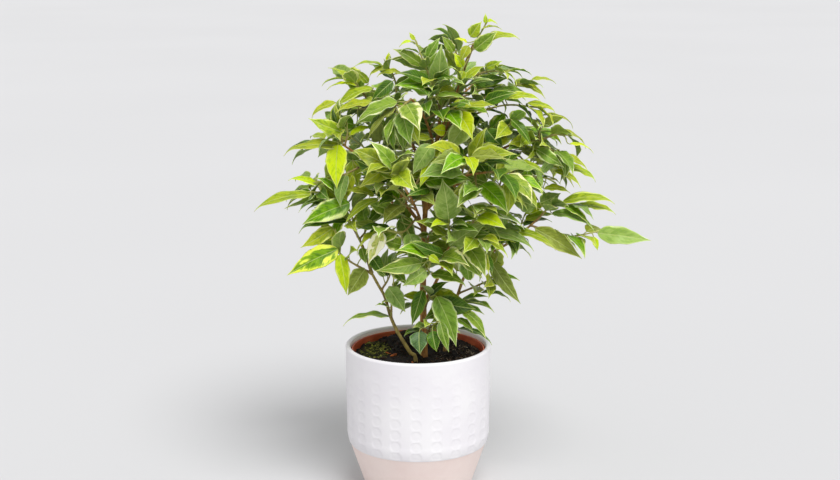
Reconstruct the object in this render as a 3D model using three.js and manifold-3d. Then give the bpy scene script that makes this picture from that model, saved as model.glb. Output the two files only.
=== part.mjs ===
// A variegated weeping fig in a nursery pot, standing in a ceramic cover pot.
// Millimetres, +Z up. The origin is the middle of the cover pot's underside, and the front is -Y.

import * as THREE from 'three';
import { mergeVertices } from 'three/addons/utils/BufferGeometryUtils.js';
import Module from 'manifold-3d';

const wasm = await Module();
wasm.setup();

// Clearance between two pieces that touch
const GAP = 0.3;

// Cover pot
const COVER_HEIGHT = 140;
const COVER_RIM_RADIUS = 68;
const COVER_KNEE_RADIUS = 67.1;
const COVER_KNEE_Z = 52;
const COVER_BASE_RADIUS = 49.5;
const COVER_WALL = 4.5;
const COVER_FLOOR = 6;
const COVER_FOOT_BEVEL = 1.5;
const COVER_RIM_ROUND = 1.5;
const COVER_INNER_KNEE = { inset: 1, rise: 6 };

// Round impressions in the wall of the cover pot, in upright columns
const DIMPLE_COLUMNS = 22;
const DIMPLE_ROWS = 9;
const DIMPLE_TOP_Z = 134.5;
const DIMPLE_PITCH = 10.55;
const DIMPLE_DEPTH = 0.8;
const DIMPLE_FIRST_ANGLE = THREE.MathUtils.degToRad(-1.6);
const COLUMN_TOLERANCE = 0.1;
const ROW_TOLERANCE = 0.01;

// Nursery pot
const NURSERY_HEIGHT = 129.7;
const NURSERY_RIM_RADIUS = 62.5;
const NURSERY_BASE_RADIUS = 44;
const NURSERY_WALL = 1.5;
const NURSERY_LIP = 1.2;
const NURSERY_LIP_HEIGHT = 9;
const NURSERY_SIDES = 30;

// Soil
const SOIL_LEVEL = 129;
const SOIL_RISE = 3;
const SOIL_BUMP = 1.6;
const SOIL_CLODS = { broad: [0.21, 0.17], fine: [0.09, 0.24], fineShare: 0.6 };
const SOIL_MOUND = { x: -6, y: 34, height: 9, spread: 15 };
const SOIL_RINGS = [0.32, 0.6, 0.83];

// Wood: every stem and branch is a tapering tube along a curve through hand-chosen points
const STEM_SIDES = 7;
const BRANCH_SIDES = 5;
const TWIG_SIDES = 3;
const STEMS = {
  trunk: {
    radii: [3.9, 1.3],
    route: [[5.6, -6, 92], [5.6, -6, 131], [4.7, -4, 191], [5.5, -2, 247], [9, 0, 286], [14.6, 2, 314],
      [19, 3, 343], [21.5, 1, 372]],
    branches: {
      leader: {
        radii: [1.6, 0.9],
        route: [[14.6, 2, 314], [22, 4, 333], [28, 5, 348], [34, 6, 369], [42, 3, 399], [50, -1, 420]],
      },
      front_right: {
        radii: [1.7, 0.9],
        route: [[5, -4, 180], [15, -16, 200], [24, -34, 226], [28, -44, 242], [37, -50, 250], [46, -54, 259]],
      },
      back_left: {
        radii: [1.6, 0.9],
        route: [[5, -3, 220], [-8, 14, 244], [-26, 36, 270], [-50, 56, 292], [-72, 66, 306]],
      },
      back_right: {
        radii: [1.7, 0.9],
        route: [[5.2, -3, 232], [20, 14, 256], [38, 38, 282], [58, 62, 302], [74, 76, 312]],
      },
      front: { radii: [1.5, 0.9], route: [[5.3, -3, 240], [2, -20, 262], [-5, -44, 284], [-10, -62, 296]] },
      upper_left: {
        radii: [1.7, 0.9],
        route: [[5.6, -2, 250], [-12, -10, 276], [-24, -16, 300], [-44, -22, 315], [-67, -28, 332]],
      },
      back: { radii: [1.6, 0.9], route: [[6.5, -1, 262], [2, 20, 292], [-4, 44, 320], [-12, 66, 338]] },
      right: {
        radii: [1.8, 0.9],
        route: [[7, -1, 268], [28, 2, 286], [50, 6, 300], [72, 8, 320], [96, 6, 330], [112, 2, 332]],
      },
      low_front_right: {
        radii: [1.5, 0.9],
        route: [[8, -1, 276], [24, -20, 292], [42, -42, 306], [60, -58, 312]],
      },
      high_left: { radii: [1.5, 0.9], route: [[12, 1, 300], [-4, 6, 324], [-22, 8, 346], [-44, 6, 366]] },
      high_front: {
        radii: [1.4, 0.9],
        route: [[16, 2, 322], [10, -14, 344], [2, -28, 364], [-6, -40, 374]],
      },
      high_back: { radii: [1.4, 0.9], route: [[17, 2, 330], [26, 20, 350], [38, 38, 366], [48, 50, 374]] },
    },
  },
  left_stem: {
    radii: [2.1, 1.2],
    route: [[0, -20, 96.5], [-2.5, -20, 131.5], [-6.6, -21, 136.2], [-12.3, -22, 145.8],
      [-20, -23, 159.7], [-25.7, -24, 174], [-30.4, -26, 191.5], [-36.1, -27, 202.6], [-42, -28, 214]],
    branches: {
      left_low: { radii: [1.3, 0.9], route: [[-42, -28, 214], [-47, -30, 217]] },
      left_high: {
        radii: [1.3, 0.9],
        route: [[-42, -28, 214], [-46, -26, 226], [-51, -24, 240], [-60, -20, 257], [-70, -14, 276]],
      },
    },
  },
  right_stem: {
    radii: [2.2, 1.2],
    route: [[24, 7, 94], [26, 7, 138], [32, 8, 167], [37, 8, 184], [43, 8, 202], [49, 6, 214]],
    branches: {
      right_low: {
        radii: [1.4, 0.9],
        route: [[49, 6, 214], [61, 2, 223], [76, -2, 232], [88, -4, 240], [101, -6, 252], [110, -6, 260]],
      },
      right_high: {
        radii: [1.5, 0.9],
        route: [[49, 6, 214], [56, 14, 236], [66, 24, 262], [80, 34, 284], [98, 42, 298]],
      },
    },
  },
};

// Leafy shoots: the branch each leaves and the place along it from 0 to 1, the points its twig runs through,
// how many leaves it bears by rule, and the length of the longest of them
const SHOOTS = {
  // Top
  top: { from: ['leader', 0.75], to: [[50, -5, 418], [61, -5, 438]], leaves: 3, longest: 26 },
  top_left: { from: ['trunk', 1], to: [[8, -4, 396], [-1, -3, 420]], leaves: 4, longest: 28 },
  crown_front: { from: ['trunk', 0.93], to: [[12, -28, 388]], leaves: 7, longest: 38 },
  top_right: { from: ['leader', 0.7], to: [[80, 5, 394]], leaves: 5, longest: 32 },
  left_top: { from: ['high_left', 0.67], to: [[-20, 4, 382], [-29, 2, 402]], leaves: 6, longest: 32 },
  left_top_out: { from: ['high_left', 1], to: [[-63, 3, 386]], leaves: 4, longest: 34 },
  high_left_back: { from: ['high_left', 0.5], to: [[-34, 44, 372]], leaves: 8, longest: 38 },
  upper_front_left: {
    from: ['high_front', 0.6],
    to: [[-28, -20, 368], [-62, -16, 364]],
    leaves: 7,
    longest: 36,
  },
  high_front_tip: { from: ['high_front', 1], to: [[-18, -56, 362]], leaves: 7, longest: 40 },
  high_front_right: { from: ['high_front', 0.5], to: [[40, -40, 364]], leaves: 7, longest: 40 },
  back_top: { from: ['high_back', 1], to: [[66, 72, 386]], leaves: 8, longest: 38 },
  back_top_left: { from: ['high_back', 0.5], to: [[4, 50, 398]], leaves: 8, longest: 38 },
  right_top: { from: ['leader', 0.5], to: [[66, 8, 372], [99, 9, 384]], leaves: 6, longest: 36 },
  right_top_low: { from: ['leader', 0.35], to: [[74, -6, 364], [112, -3, 362]], leaves: 7, longest: 36 },
  right_top_back: { from: ['high_back', 0.7], to: [[74, 54, 372]], leaves: 8, longest: 38 },
  // Right
  right_up: { from: ['right', 0.56], to: [[68, -6, 336], [86, -22, 352]], leaves: 6, longest: 38 },
  right_tip: { from: ['right', 1], to: [[138, 3, 336]], leaves: 5, longest: 34 },
  right_tip_low: { from: ['right', 0.85], to: [[134, -6, 314]], leaves: 5, longest: 34 },
  right_front: { from: ['right', 0.65], to: [[98, -32, 314]], leaves: 6, longest: 38 },
  right_mid: { from: ['right', 0.5], to: [[92, -6, 302], [122, -12, 298]], leaves: 6, longest: 34 },
  right_back: { from: ['right', 0.75], to: [[112, 50, 330]], leaves: 8, longest: 40 },
  right_high_tip: { from: ['right_high', 1], to: [[126, 56, 300]], leaves: 8, longest: 40 },
  right_high_back: { from: ['right_high', 0.6], to: [[88, 78, 292]], leaves: 8, longest: 42 },
  right_low_tip: { from: ['right_low', 1], to: [[121, -8, 271], [142, -7, 274]], leaves: 4, longest: 36 },
  right_far: { from: ['right_low', 0.85], to: [[136, -8, 244], [163, -7, 248]], leaves: 3, longest: 34 },
  right_front_low: { from: ['right_low', 0.5], to: [[76, -36, 256]], leaves: 5, longest: 36 },
  right_stem_low: {
    from: ['right_stem', 0.62],
    to: [[56, 0, 196], [68, -10, 206], [66, -16, 221]],
    leaves: 3,
    longest: 34,
  },
  right_stem_front: { from: ['right_stem', 0.45], to: [[38, -30, 182]], leaves: 4, longest: 34 },
  // Front
  front_tip: { from: ['front', 1], to: [[-22, -74, 316]], leaves: 7, longest: 42 },
  front_up: { from: ['front', 0.8], to: [[4, -52, 312], [16, -50, 334]], leaves: 6, longest: 40 },
  front_left: { from: ['front', 0.6], to: [[-32, -42, 300]], leaves: 7, longest: 42 },
  front_low_left: { from: ['front', 0.4], to: [[-14, -42, 255], [-28, -56, 260]], leaves: 7, longest: 42 },
  front_right_up: { from: ['front_right', 0.62], to: [[27, -64, 266]], leaves: 3, longest: 32 },
  front_right_tip: { from: ['front_right', 1], to: [[54, -66, 280]], leaves: 4, longest: 36 },
  front_right_low: { from: ['front_right', 0.4], to: [[10, -58, 233]], leaves: 6, longest: 40 },
  front_right_side: { from: ['front_right', 0.75], to: [[48, -48, 240]], leaves: 5, longest: 38 },
  low_front_tip: {
    from: ['low_front_right', 1],
    to: [[70, -63, 313], [84, -56, 304]],
    leaves: 6,
    longest: 40,
  },
  low_front_mid: { from: ['low_front_right', 0.6], to: [[42, -68, 326]], leaves: 8, longest: 42 },
  // Left
  upper_left_tip: { from: ['upper_left', 1], to: [[-70, -32, 346]], leaves: 3, longest: 32 },
  upper_left_mid: { from: ['upper_left', 0.65], to: [[-34, -22, 338]], leaves: 6, longest: 40 },
  upper_left_low: {
    from: ['upper_left', 0.75],
    to: [[-70, -32, 304], [-92, -30, 298]],
    leaves: 4,
    longest: 34,
  },
  upper_left_back: {
    from: ['upper_left', 0.35],
    to: [[-18, 4, 298], [-60, 22, 330]],
    leaves: 8,
    longest: 40,
  },
  left_high_tip: { from: ['left_high', 1], to: [[-79, -17, 286], [-96, -32, 290]], leaves: 4, longest: 34 },
  left_high_front: { from: ['left_high', 0.6], to: [[-64, -38, 280]], leaves: 4, longest: 36 },
  left_high_back: { from: ['left_high', 0.7], to: [[-98, 18, 290]], leaves: 8, longest: 42 },
  left_low_tip: {
    from: ['left_low', 1],
    to: [[-62, -34, 227], [-73, -37, 238], [-74, -37, 254]],
    leaves: 3,
    longest: 34,
  },
  left_stem_low: {
    from: ['left_stem', 0.6],
    to: [[-24, -31, 188], [-22, -31, 210]],
    leaves: 2,
    longest: 18,
  },
  // Foot
  trunk_low: { from: ['trunk', 0.24], to: [[12, -28, 192]], leaves: 3, longest: 30 },
  foot: { from: ['trunk', 0.17], to: [[14, -44, 170]], leaves: 3, longest: 26 },
  // Back
  back_left_tip: { from: ['back_left', 1], to: [[-88, 86, 318]], leaves: 8, longest: 42 },
  back_left_mid: { from: ['back_left', 0.6], to: [[-38, 96, 308]], leaves: 8, longest: 42 },
  back_tip: { from: ['back', 1], to: [[-28, 106, 352]], leaves: 8, longest: 42 },
  back_mid: { from: ['back', 0.55], to: [[36, 78, 344]], leaves: 8, longest: 42 },
  back_right_tip: { from: ['back_right', 1], to: [[96, 108, 322]], leaves: 8, longest: 42 },
};

// Which way the upper side of a leaf faces: a heading and a rise in degrees
const FACES = { up: [270, 82], tilted: [270, 64], front: [268, 18] };

// Leaves placed by hand: base, tip, width and facing of each
const CHOSEN_LEAVES = [
  // Top
  [[47, -4, 426], [57, -7, 440], 11, 'front'],
  [[57, -6, 433], [75, -9, 433], 8, 'up'],
  [[61, -4, 440], [71, -5, 437], 5, 'tilted'],
  [[60, -3, 438], [60, -3, 447], 4, 'front'],
  [[51, -8, 415], [71, -14, 432], 14, 'front'],
  [[56, -2, 421], [92, -2, 425], 13, 'tilted'],
  [[45, -4, 418], [38, -6, 404], 9, 'front'],
  [[44, -6, 421], [32, -8, 424], 6, 'tilted'],
  [[40, -4, 399], [32, -6, 412], 9, 'front'],
  [[40, -8, 396], [38, -10, 383], 8, 'front'],
  [[19, -14, 375], [21, -18, 421], 20, 'front'],
  [[3, -6, 401], [-23, -9, 416], 11, 'front'],
  [[-6, -4, 422], [-17, -6, 417], 5, 'tilted'],
  [[-3, -3, 423], [-8, -3, 430], 4, 'front'],
  [[9, 2, 407], [20, 4, 425], 10, 'front'],
  [[32, 7, 411], [21, 9, 426], 9, 'front'],
  // Upper left
  [[-32, 2, 400], [-58, 0, 399], 11, 'up'],
  [[-27, 3, 403], [-26, 3, 412], 5, 'front'],
  [[-28, 0, 398], [-45, -4, 390], 8, 'tilted'],
  [[-15, 0, 393], [-38, -5, 391], 9, 'tilted'],
  [[-23, -4, 386], [-43, -10, 367], 12, 'front'],
  [[-45, 2, 384], [-57, 0, 397], 7, 'front'],
  [[-56, 4, 382], [-83, 2, 379], 10, 'up'],
  [[-41, -2, 380], [-76, -8, 360], 14, 'tilted'],
  [[-74, -14, 368], [-97, -17, 354], 11, 'tilted'],
  [[-64, -20, 366], [-74, -22, 358], 8, 'front'],
  [[-50, -10, 364], [-76, -13, 358], 13, 'tilted'],
  [[-58, -14, 348], [-79, -16, 353], 14, 'front'],
  [[-28, -20, 364], [-56, -25, 350], 16, 'front'],
  [[-14, -8, 358], [18, -10, 341], 15, 'front'],
  [[-25, -16, 341], [-46, -18, 337], 14, 'front'],
  [[-30, -22, 325], [-54, -22, 326], 15, 'front'],
  // Left
  [[-68, -30, 344], [-97, -34, 357], 13, 'front'],
  [[-68, -28, 331], [-122, -31, 325], 16, 'tilted'],
  [[-71, -36, 333], [-72, -43, 294], 19, 'front'],
  [[-59, -18, 316], [-54, -20, 291], 15, 'front'],
  [[-91, -30, 296], [-117, -30, 301], 10, 'tilted'],
  [[-73, -30, 292], [-92, -30, 304], 11, 'tilted'],
  [[-96, -34, 288], [-148, -37, 274], 15, 'tilted'],
  [[-61, -36, 281], [-105, -41, 262], 20, 'front'],
  [[-64, -30, 263], [-110, -33, 254], 15, 'tilted'],
  [[-77, -34, 257], [-106, -39, 240], 13, 'front'],
  [[-72, -40, 239], [-118, -45, 216], 20, 'front'],
  [[-70, -42, 235], [-64, -47, 197], 13, 'front'],
  [[-48, -30, 219], [-64, -33, 195], 17, 'front'],
  [[-51, -26, 238], [-47, -28, 223], 9, 'front'],
  // Front left
  [[-17, -40, 322], [-53, -47, 296], 20, 'front'],
  [[-39, -40, 288], [-67, -43, 292], 12, 'tilted'],
  [[-35, -46, 286], [-66, -50, 262], 11, 'tilted'],
  [[-31, -58, 258], [-44, -62, 230], 14, 'front'],
  [[3, -60, 231], [-38, -65, 225], 15, 'front'],
  [[7, -56, 224], [-14, -60, 210], 14, 'front'],
  [[-24, -20, 267], [-45, -22, 274], 13, 'tilted'],
  [[-15, -24, 265], [-3, -27, 235], 16, 'front'],
  [[-30, -30, 253], [-62, -32, 261], 13, 'tilted'],
  [[-15, -40, 243], [-33, -43, 250], 14, 'front'],
  [[-26, -24, 217], [-9, -26, 201], 13, 'tilted'],
  [[-22, -34, 274], [-46, -38, 281], 14, 'front'],
  [[-43, -24, 231], [-29, -27, 211], 12, 'front'],
  [[-16, 4, 303], [-29, 4, 284], 16, 'front'],
  [[-7, 8, 305], [-1, 10, 282], 14, 'front'],
  [[-27, -34, 202], [-11, -40, 180], 16, 'front'],
  [[-26, -27, 173], [-70, -35, 168], 13, 'up'],
  // Front
  [[13, -56, 325], [1, -61, 298], 11, 'front'],
  [[16, -57, 324], [18, -60, 307], 8, 'front'],
  [[12, -50, 336], [-5, -54, 310], 17, 'front'],
  [[11, -44, 340], [-19, -49, 335], 11, 'tilted'],
  [[24, -40, 346], [12, -43, 348], 11, 'front'],
  [[46, -42, 356], [25, -49, 327], 20, 'front'],
  [[27, -68, 272], [21, -71, 309], 24, 'front'],
  [[28, -53, 245], [62, -59, 268], 18, 'front'],
  [[22, -58, 238], [-8, -63, 252], 12, 'front'],
  [[10, -63, 239], [20, -65, 232], 7, 'front'],
  [[62, -10, 296], [37, -12, 305], 16, 'front'],
  [[55, -4, 313], [67, -6, 296], 14, 'front'],
  [[46, -20, 331], [65, -22, 315], 15, 'front'],
  [[62, -6, 343], [77, -6, 327], 15, 'front'],
  [[12, -54, 219], [44, -59, 210], 15, 'tilted'],
  [[36, -50, 243], [58, -55, 215], 15, 'front'],
  // Right
  [[52, 2, 384], [82, 4, 388], 12, 'front'],
  [[62, 2, 398], [76, 0, 404], 8, 'front'],
  [[67, 8, 377], [103, 10, 372], 12, 'tilted'],
  [[94, 9, 382], [116, 10, 369], 10, 'tilted'],
  [[60, -12, 368], [89, -17, 377], 12, 'front'],
  [[79, -12, 372], [111, -18, 371], 12, 'tilted'],
  [[99, -2, 366], [126, -2, 358], 10, 'tilted'],
  [[113, -1, 355], [143, 0, 344], 11, 'up'],
  [[83, -28, 354], [101, -35, 330], 11, 'tilted'],
  [[126, 3, 341], [155, 5, 324], 11, 'up'],
  [[138, 2, 329], [160, 2, 321], 10, 'up'],
  [[107, -16, 326], [132, -22, 310], 12, 'front'],
  [[127, -8, 319], [155, -10, 305], 11, 'tilted'],
  [[135, -2, 308], [164, -1, 294], 11, 'tilted'],
  [[89, -32, 316], [113, -35, 306], 11, 'tilted'],
  [[79, -42, 304], [100, -45, 300], 10, 'front'],
  [[124, -12, 306], [148, -15, 291], 10, 'tilted'],
  [[115, -10, 289], [139, -11, 285], 10, 'tilted'],
  [[60, -52, 298], [98, -58, 279], 14, 'tilted'],
  [[43, -60, 279], [96, -63, 262], 18, 'tilted'],
  [[132, -8, 276], [181, -10, 276], 15, 'tilted'],
  [[146, -3, 272], [183, -1, 264], 12, 'tilted'],
  [[122, -14, 267], [163, -17, 251], 13, 'tilted'],
  [[107, -10, 272], [80, -14, 283], 17, 'front'],
  [[112, -6, 275], [131, -4, 284], 14, 'front'],
  [[165, -7, 247], [215, -7, 240], 17, 'front'],
  [[161, -10, 244], [165, -11, 231], 6, 'front'],
  [[107, -16, 253], [151, -20, 225], 16, 'front'],
  [[81, -32, 254], [125, -37, 238], 13, 'tilted'],
  [[63, -44, 258], [105, -49, 240], 15, 'tilted'],
  [[48, -44, 246], [87, -48, 247], 12, 'tilted'],
  [[67, -18, 222], [95, -23, 183], 14, 'front'],
  [[68, -14, 232], [61, -18, 214], 14, 'front'],
  [[67, -8, 202], [92, -10, 191], 11, 'tilted'],
  [[59, -5, 190], [87, -8, 183], 11, 'up'],
  // Foot
  [[17, -30, 194], [35, -40, 149], 20, 'front'],
  [[4, -28, 198], [-6, -32, 165], 13, 'front'],
  [[18, -22, 188], [54, -24, 182], 19, 'front'],
  [[40, -34, 181], [62, -40, 155], 12, 'tilted'],
  [[36, -34, 173], [51, -39, 161], 9, 'tilted'],
  [[38, -20, 160], [69, -26, 146], 11, 'up'],
  [[1, -46, 164], [2, -55, 145], 17, 'front'],
  [[13, -50, 166], [17, -55, 147], 12, 'front'],
  [[20, -46, 174], [28, -54, 147], 10, 'front'],
];

// Twigs and leaves
const TWIG_RADII = [0.9, 0.55];
const TWIG_STEPS = 4;
const TWIG_ARCH = 0.1;
const FIRST_LEAF_AT = 0.2;
const LAST_SIDE_LEAF_AT = 0.93;
const LEAF_SPACING = 0.07;
const PETIOLE_LENGTH = 9;
const PETIOLE_RADIUS = 0.55;
const STALK_FOOT = { length: 1.4, mostOfGap: 0.6 };
const TIP_SIDE_AT = 0.96;
const LEAST_FORWARD = 0.5;
const LEAF_THICKNESS = 0.7;
const LEAF_SLENDERNESS = 0.49;
const CHOSEN_BENDS = { up: 58, tilted: 52, front: 34 };
const CHOSEN_FOLD = 0.22;
const CHOSEN_SHIFTS = [0, -3, 3, -6, 6, -10, 10];
const GUARD_THICKNESS = 1.5;
const GUARD_GROWTH = 0.8;
const TRIES_PER_LEAF = 12;
const NEAREST_STEPS = 40;
const FIRST_CHOSEN_STEP = 4;
const FIRST_SEED = 1000;

// Outline of a blade: where its body ends, how early and how fully it widens, and its narrow drip tip
const OUTLINE = { bodyEnd: 0.86, early: 0.82, fullness: 0.8, taper: 0.25, tipWidth: 0.11, tipLength: 0.3 };
const MIDRIB_STEPS = 8;
const BEND_ONSET = 1.2;

// Leaves placed by rule: angles in degrees, and spreads that grow with each further try
const RULE = {
  turnAtFoot: 62,
  turnAtTip: 38,
  turnSpread: 10,
  turnLooser: 12,
  stalkTurn: 0.8,
  stalkRise: 15,
  keepOfRise: 0.7,
  drop: 8,
  riseSpread: 12,
  rollSpread: 18,
  looser: 10,
  tipLeaf: 0.66,
  tipLeafOnset: 3,
  fullLeaf: 42,
  fold: [0.18, 0.38],
  bend: [24, 56],
  lengthSpread: [0.9, 1.1],
  widthSpread: [0.92, 1.08],
};

// The crown's upright axis, away from which leaves turn their faces
const CROWN_AXIS = { x: 15, y: 0 };
const OUTWARD_LEAN = 0.6;

// Seeded draw of numbers from 0 to 1
function seededDraw(seed) {
  let state = seed >>> 0;
  return () => {
    state = (state + 0x6d2b79f5) >>> 0;
    let mixed = Math.imul(state ^ (state >>> 15), state | 1);
    mixed ^= mixed + Math.imul(mixed ^ (mixed >>> 7), mixed | 61);
    return ((mixed ^ (mixed >>> 14)) >>> 0) / 4294967296;
  };
}

const radians = THREE.MathUtils.degToRad;
const mix = THREE.MathUtils.lerp;
const vector = (p) => new THREE.Vector3(...p);
const offset = (from, direction, distance) => from.clone().addScaledVector(direction, distance);

// Unit vector from a heading round Z and a rise above the horizontal, both in degrees
function direction(heading, rise) {
  const [h, r] = [radians(heading), radians(rise)];
  return new THREE.Vector3(Math.cos(r) * Math.cos(h), Math.cos(r) * Math.sin(h), Math.sin(r));
}

// Closed solids

function solidFrom(points, triangles) {
  return new wasm.Manifold(
    new wasm.Mesh({
      numProp: 3,
      vertProperties: new Float32Array(points.flatMap((p) => p.toArray())),
      triVerts: new Uint32Array(triangles.flat()),
    }),
  );
}

function solidOf(geometry) {
  const bare = geometry.clone().deleteAttribute('normal').deleteAttribute('uv');
  const merged = mergeVertices(bare, 1e-3);
  return new wasm.Manifold(
    new wasm.Mesh({
      numProp: 3,
      vertProperties: new Float32Array(merged.attributes.position.array),
      triVerts: new Uint32Array(merged.index.array),
    }),
  );
}

function geometryOf(solid) {
  const mesh = solid.getMesh();
  const positions = new Float32Array(mesh.numVert * 3);
  for (let i = 0; i < mesh.numVert; i++) {
    positions.set(mesh.vertProperties.subarray(i * mesh.numProp, i * mesh.numProp + 3), i * 3);
  }
  const geometry = new THREE.BufferGeometry();
  geometry.setAttribute('position', new THREE.BufferAttribute(positions, 3));
  geometry.setIndex(new THREE.BufferAttribute(mesh.triVerts, 1));
  geometry.computeVertexNormals();
  return geometry;
}

// A tapering tube with flat ends, through the given points
function tube(points, radii, sides) {
  const last = points.length - 1;
  const along = points[last].clone().sub(points[0]);
  const upright = Math.abs(along.z) > 0.8 * along.length();
  const reference = upright ? new THREE.Vector3(1, 0, 0) : new THREE.Vector3(0, 0, 1);
  const vertices = [];
  const triangles = [];
  points.forEach((point, i) => {
    const tangent = points[Math.min(i + 1, last)].clone().sub(points[Math.max(i - 1, 0)]).normalize();
    const side = tangent.clone().cross(reference).normalize();
    const up = side.clone().cross(tangent);
    const radius = mix(radii[0], radii[1], i / last);
    for (let k = 0; k < sides; k++) {
      const angle = (2 * Math.PI * k) / sides;
      vertices.push(offset(offset(point, side, radius * Math.cos(angle)), up, radius * Math.sin(angle)));
    }
  });
  for (let i = 0; i < last; i++) {
    for (let k = 0; k < sides; k++) {
      const [a, b] = [i * sides + k, i * sides + ((k + 1) % sides)];
      triangles.push([a, a + sides, b + sides], [a, b + sides, b]);
    }
  }
  for (let k = 1; k < sides - 1; k++) {
    triangles.push([0, k, k + 1], [last * sides, last * sides + k + 1, last * sides + k]);
  }
  return { vertices, triangles };
}

// Wood

function curveThrough(route) {
  return new THREE.CatmullRomCurve3(route.map(vector), false, 'catmullrom', 0.5);
}

function woodPoints(wood) {
  const steps = wood.steps * (wood.route.length - 1);
  return curveThrough(wood.route).getPoints(steps);
}

function grown(radii, growth) {
  return radii.map((radius) => radius + growth);
}

const LIMBS = {};
for (const [name, stem] of Object.entries(STEMS)) {
  LIMBS[name] = { ...stem, sides: STEM_SIDES, steps: 2 };
  for (const [branchName, branch] of Object.entries(stem.branches)) {
    LIMBS[branchName] = { ...branch, sides: BRANCH_SIDES, steps: 1 };
  }
}

function limbSolid(name, growth = 0) {
  const limb = LIMBS[name];
  const { vertices, triangles } = tube(woodPoints(limb), grown(limb.radii, growth), limb.sides);
  return solidFrom(vertices, triangles);
}

function stemSolid(name, growth = 0) {
  return Object.keys(STEMS[name].branches)
    .map((branch) => limbSolid(branch, growth))
    .reduce((all, one) => all.add(one), limbSolid(name, growth));
}

// Where a twig starts: just off the side of its branch, or off the branch's end
function twigStart([branch, at], target) {
  const limb = LIMBS[branch];
  const { point, forward } = pointAlong(woodPoints(limb), at);
  const [reach] = TWIG_RADII;
  const way = target.clone().sub(point).normalize();
  const cosine = way.dot(forward);
  const sine = Math.sqrt(1 - cosine * cosine);
  const fromSide = (mix(limb.radii[0], limb.radii[1], at) + GAP + reach * Math.abs(cosine)) / sine;
  const fromEnd = (GAP + reach * sine) / cosine;
  return offset(point, way, at === 1 && cosine > 0 ? Math.min(fromSide, fromEnd) : fromSide);
}

// A twig runs through its points. With a single point, it arches on the way there.
function twigPoints({ from, to }) {
  const route = to.map(vector);
  const start = twigStart(from, route[0]);
  if (route.length === 1) {
    const middle = start.clone().lerp(route[0], 0.5);
    middle.z += TWIG_ARCH * start.distanceTo(route[0]);
    route.unshift(middle);
  }
  return new THREE.CatmullRomCurve3([start, ...route], false, 'catmullrom', 0.5).getPoints(TWIG_STEPS);
}

function pointAlong(points, share) {
  const place = share * (points.length - 1);
  const i = Math.min(Math.floor(place), points.length - 2);
  const forward = points[i + 1].clone().sub(points[i]).normalize();
  return { point: points[i].clone().lerp(points[i + 1], place - i), forward };
}

// Leaves

// Half-width of a leaf as a share of its greatest, from the stalk at 0 to the tip at 1
function outline(t) {
  const { bodyEnd, early, fullness, taper, tipWidth, tipLength } = OUTLINE;
  const body = Math.pow(Math.sin(Math.PI * Math.pow(Math.min(t / bodyEnd, 1), early)), fullness);
  const tail = tipWidth * Math.min(1, (1 - t) / tipLength, t / tipLength);
  return Math.max(body * (1 - taper * t), tail);
}

// Where the midrib is at t, and its heading there: the blade bends down along its length.
function midrib(leaf, t) {
  const point = leaf.base.clone();
  const step = (leaf.length * t) / MIDRIB_STEPS;
  for (let i = 0; i < MIDRIB_STEPS; i++) {
    const bend = radians(leaf.bend) * Math.pow((t * (i + 0.5)) / MIDRIB_STEPS, BEND_ONSET);
    point.addScaledVector(leaf.axis, Math.cos(bend) * step);
    point.addScaledVector(leaf.normal, -Math.sin(bend) * step);
  }
  const bend = radians(leaf.bend) * Math.pow(t, BEND_ONSET);
  const up = leaf.normal.clone().multiplyScalar(Math.cos(bend)).addScaledVector(leaf.axis, Math.sin(bend));
  return { point, up };
}

// The corners of one crosswise station, as its upper row and its lower row from left to right
function station(leaf, { t, across }, thickness, growth) {
  const { point, up } = midrib(leaf, t);
  const left = leaf.normal.clone().cross(leaf.axis);
  const half = (leaf.width / 2) * outline(t) + growth;
  const lift = half * leaf.fold;
  const at = (s, height) => offset(offset(point, left, s * half), up, Math.abs(s) * lift + height);
  if (t === 1) {
    const tip = offset(point, leaf.axis, growth);
    return { top: [tip], bottom: [tip] };
  }
  if (across === 'stalk') {
    const radius = PETIOLE_RADIUS + growth;
    const place = (s, height) => offset(offset(point, left, s * radius), up, height * radius);
    return { top: [place(1, 0.6), place(-1, 0.6)], bottom: [place(0, -1)] };
  }
  const row = across === 'folded' ? [1, 0, -1] : [1, -1];
  return {
    top: row.map((s) => at(s, thickness / 2)),
    bottom: row.map((s) => at(s, -thickness / 2)),
  };
}

// Triangles between two rows of corners, from left to right, seen from above with b ahead of a
function strip(a, b) {
  const triangles = [];
  let [i, j] = [0, 0];
  while (i < a.length - 1 || j < b.length - 1) {
    const nextA = i < a.length - 1 ? (i + 1) / (a.length - 1) : Infinity;
    const nextB = j < b.length - 1 ? (j + 1) / (b.length - 1) : Infinity;
    const moveA = nextA < nextB || (nextA === nextB && a.length <= b.length);
    if (moveA) {
      triangles.push([a[i], a[i + 1], b[j]]);
      i += 1;
    } else {
      triangles.push([a[i], b[j + 1], b[j]]);
      j += 1;
    }
  }
  return triangles;
}

// A mesh through the stations, capped at the last one and, unless it is open, at the first
function loft(stations, { open = false } = {}) {
  const vertices = [];
  const index = (row) => row.map((corner) => {
    const known = vertices.indexOf(corner);
    return known < 0 ? vertices.push(corner) - 1 : known;
  });
  const rings = stations.map(({ top, bottom }) => ({ top: index(top), bottom: index(bottom) }));
  const flip = (triangles) => triangles.map(([p, q, r]) => [p, r, q]);
  const end = (list) => list[list.length - 1];
  const triangles = [];
  for (let i = 0; i < rings.length - 1; i++) {
    const [a, b] = [rings[i], rings[i + 1]];
    triangles.push(...strip(a.top, b.top), ...flip(strip(a.bottom, b.bottom)));
    triangles.push([a.top[0], b.top[0], b.bottom[0]], [a.top[0], b.bottom[0], a.bottom[0]]);
    triangles.push([end(a.top), end(b.bottom), end(b.top)], [end(a.top), end(a.bottom), end(b.bottom)]);
  }
  if (!open) triangles.push(...flip(strip(rings[0].top, rings[0].bottom)));
  return { vertices, triangles: triangles.filter(([p, q, r]) => p !== q && q !== r && p !== r) };
}

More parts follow.
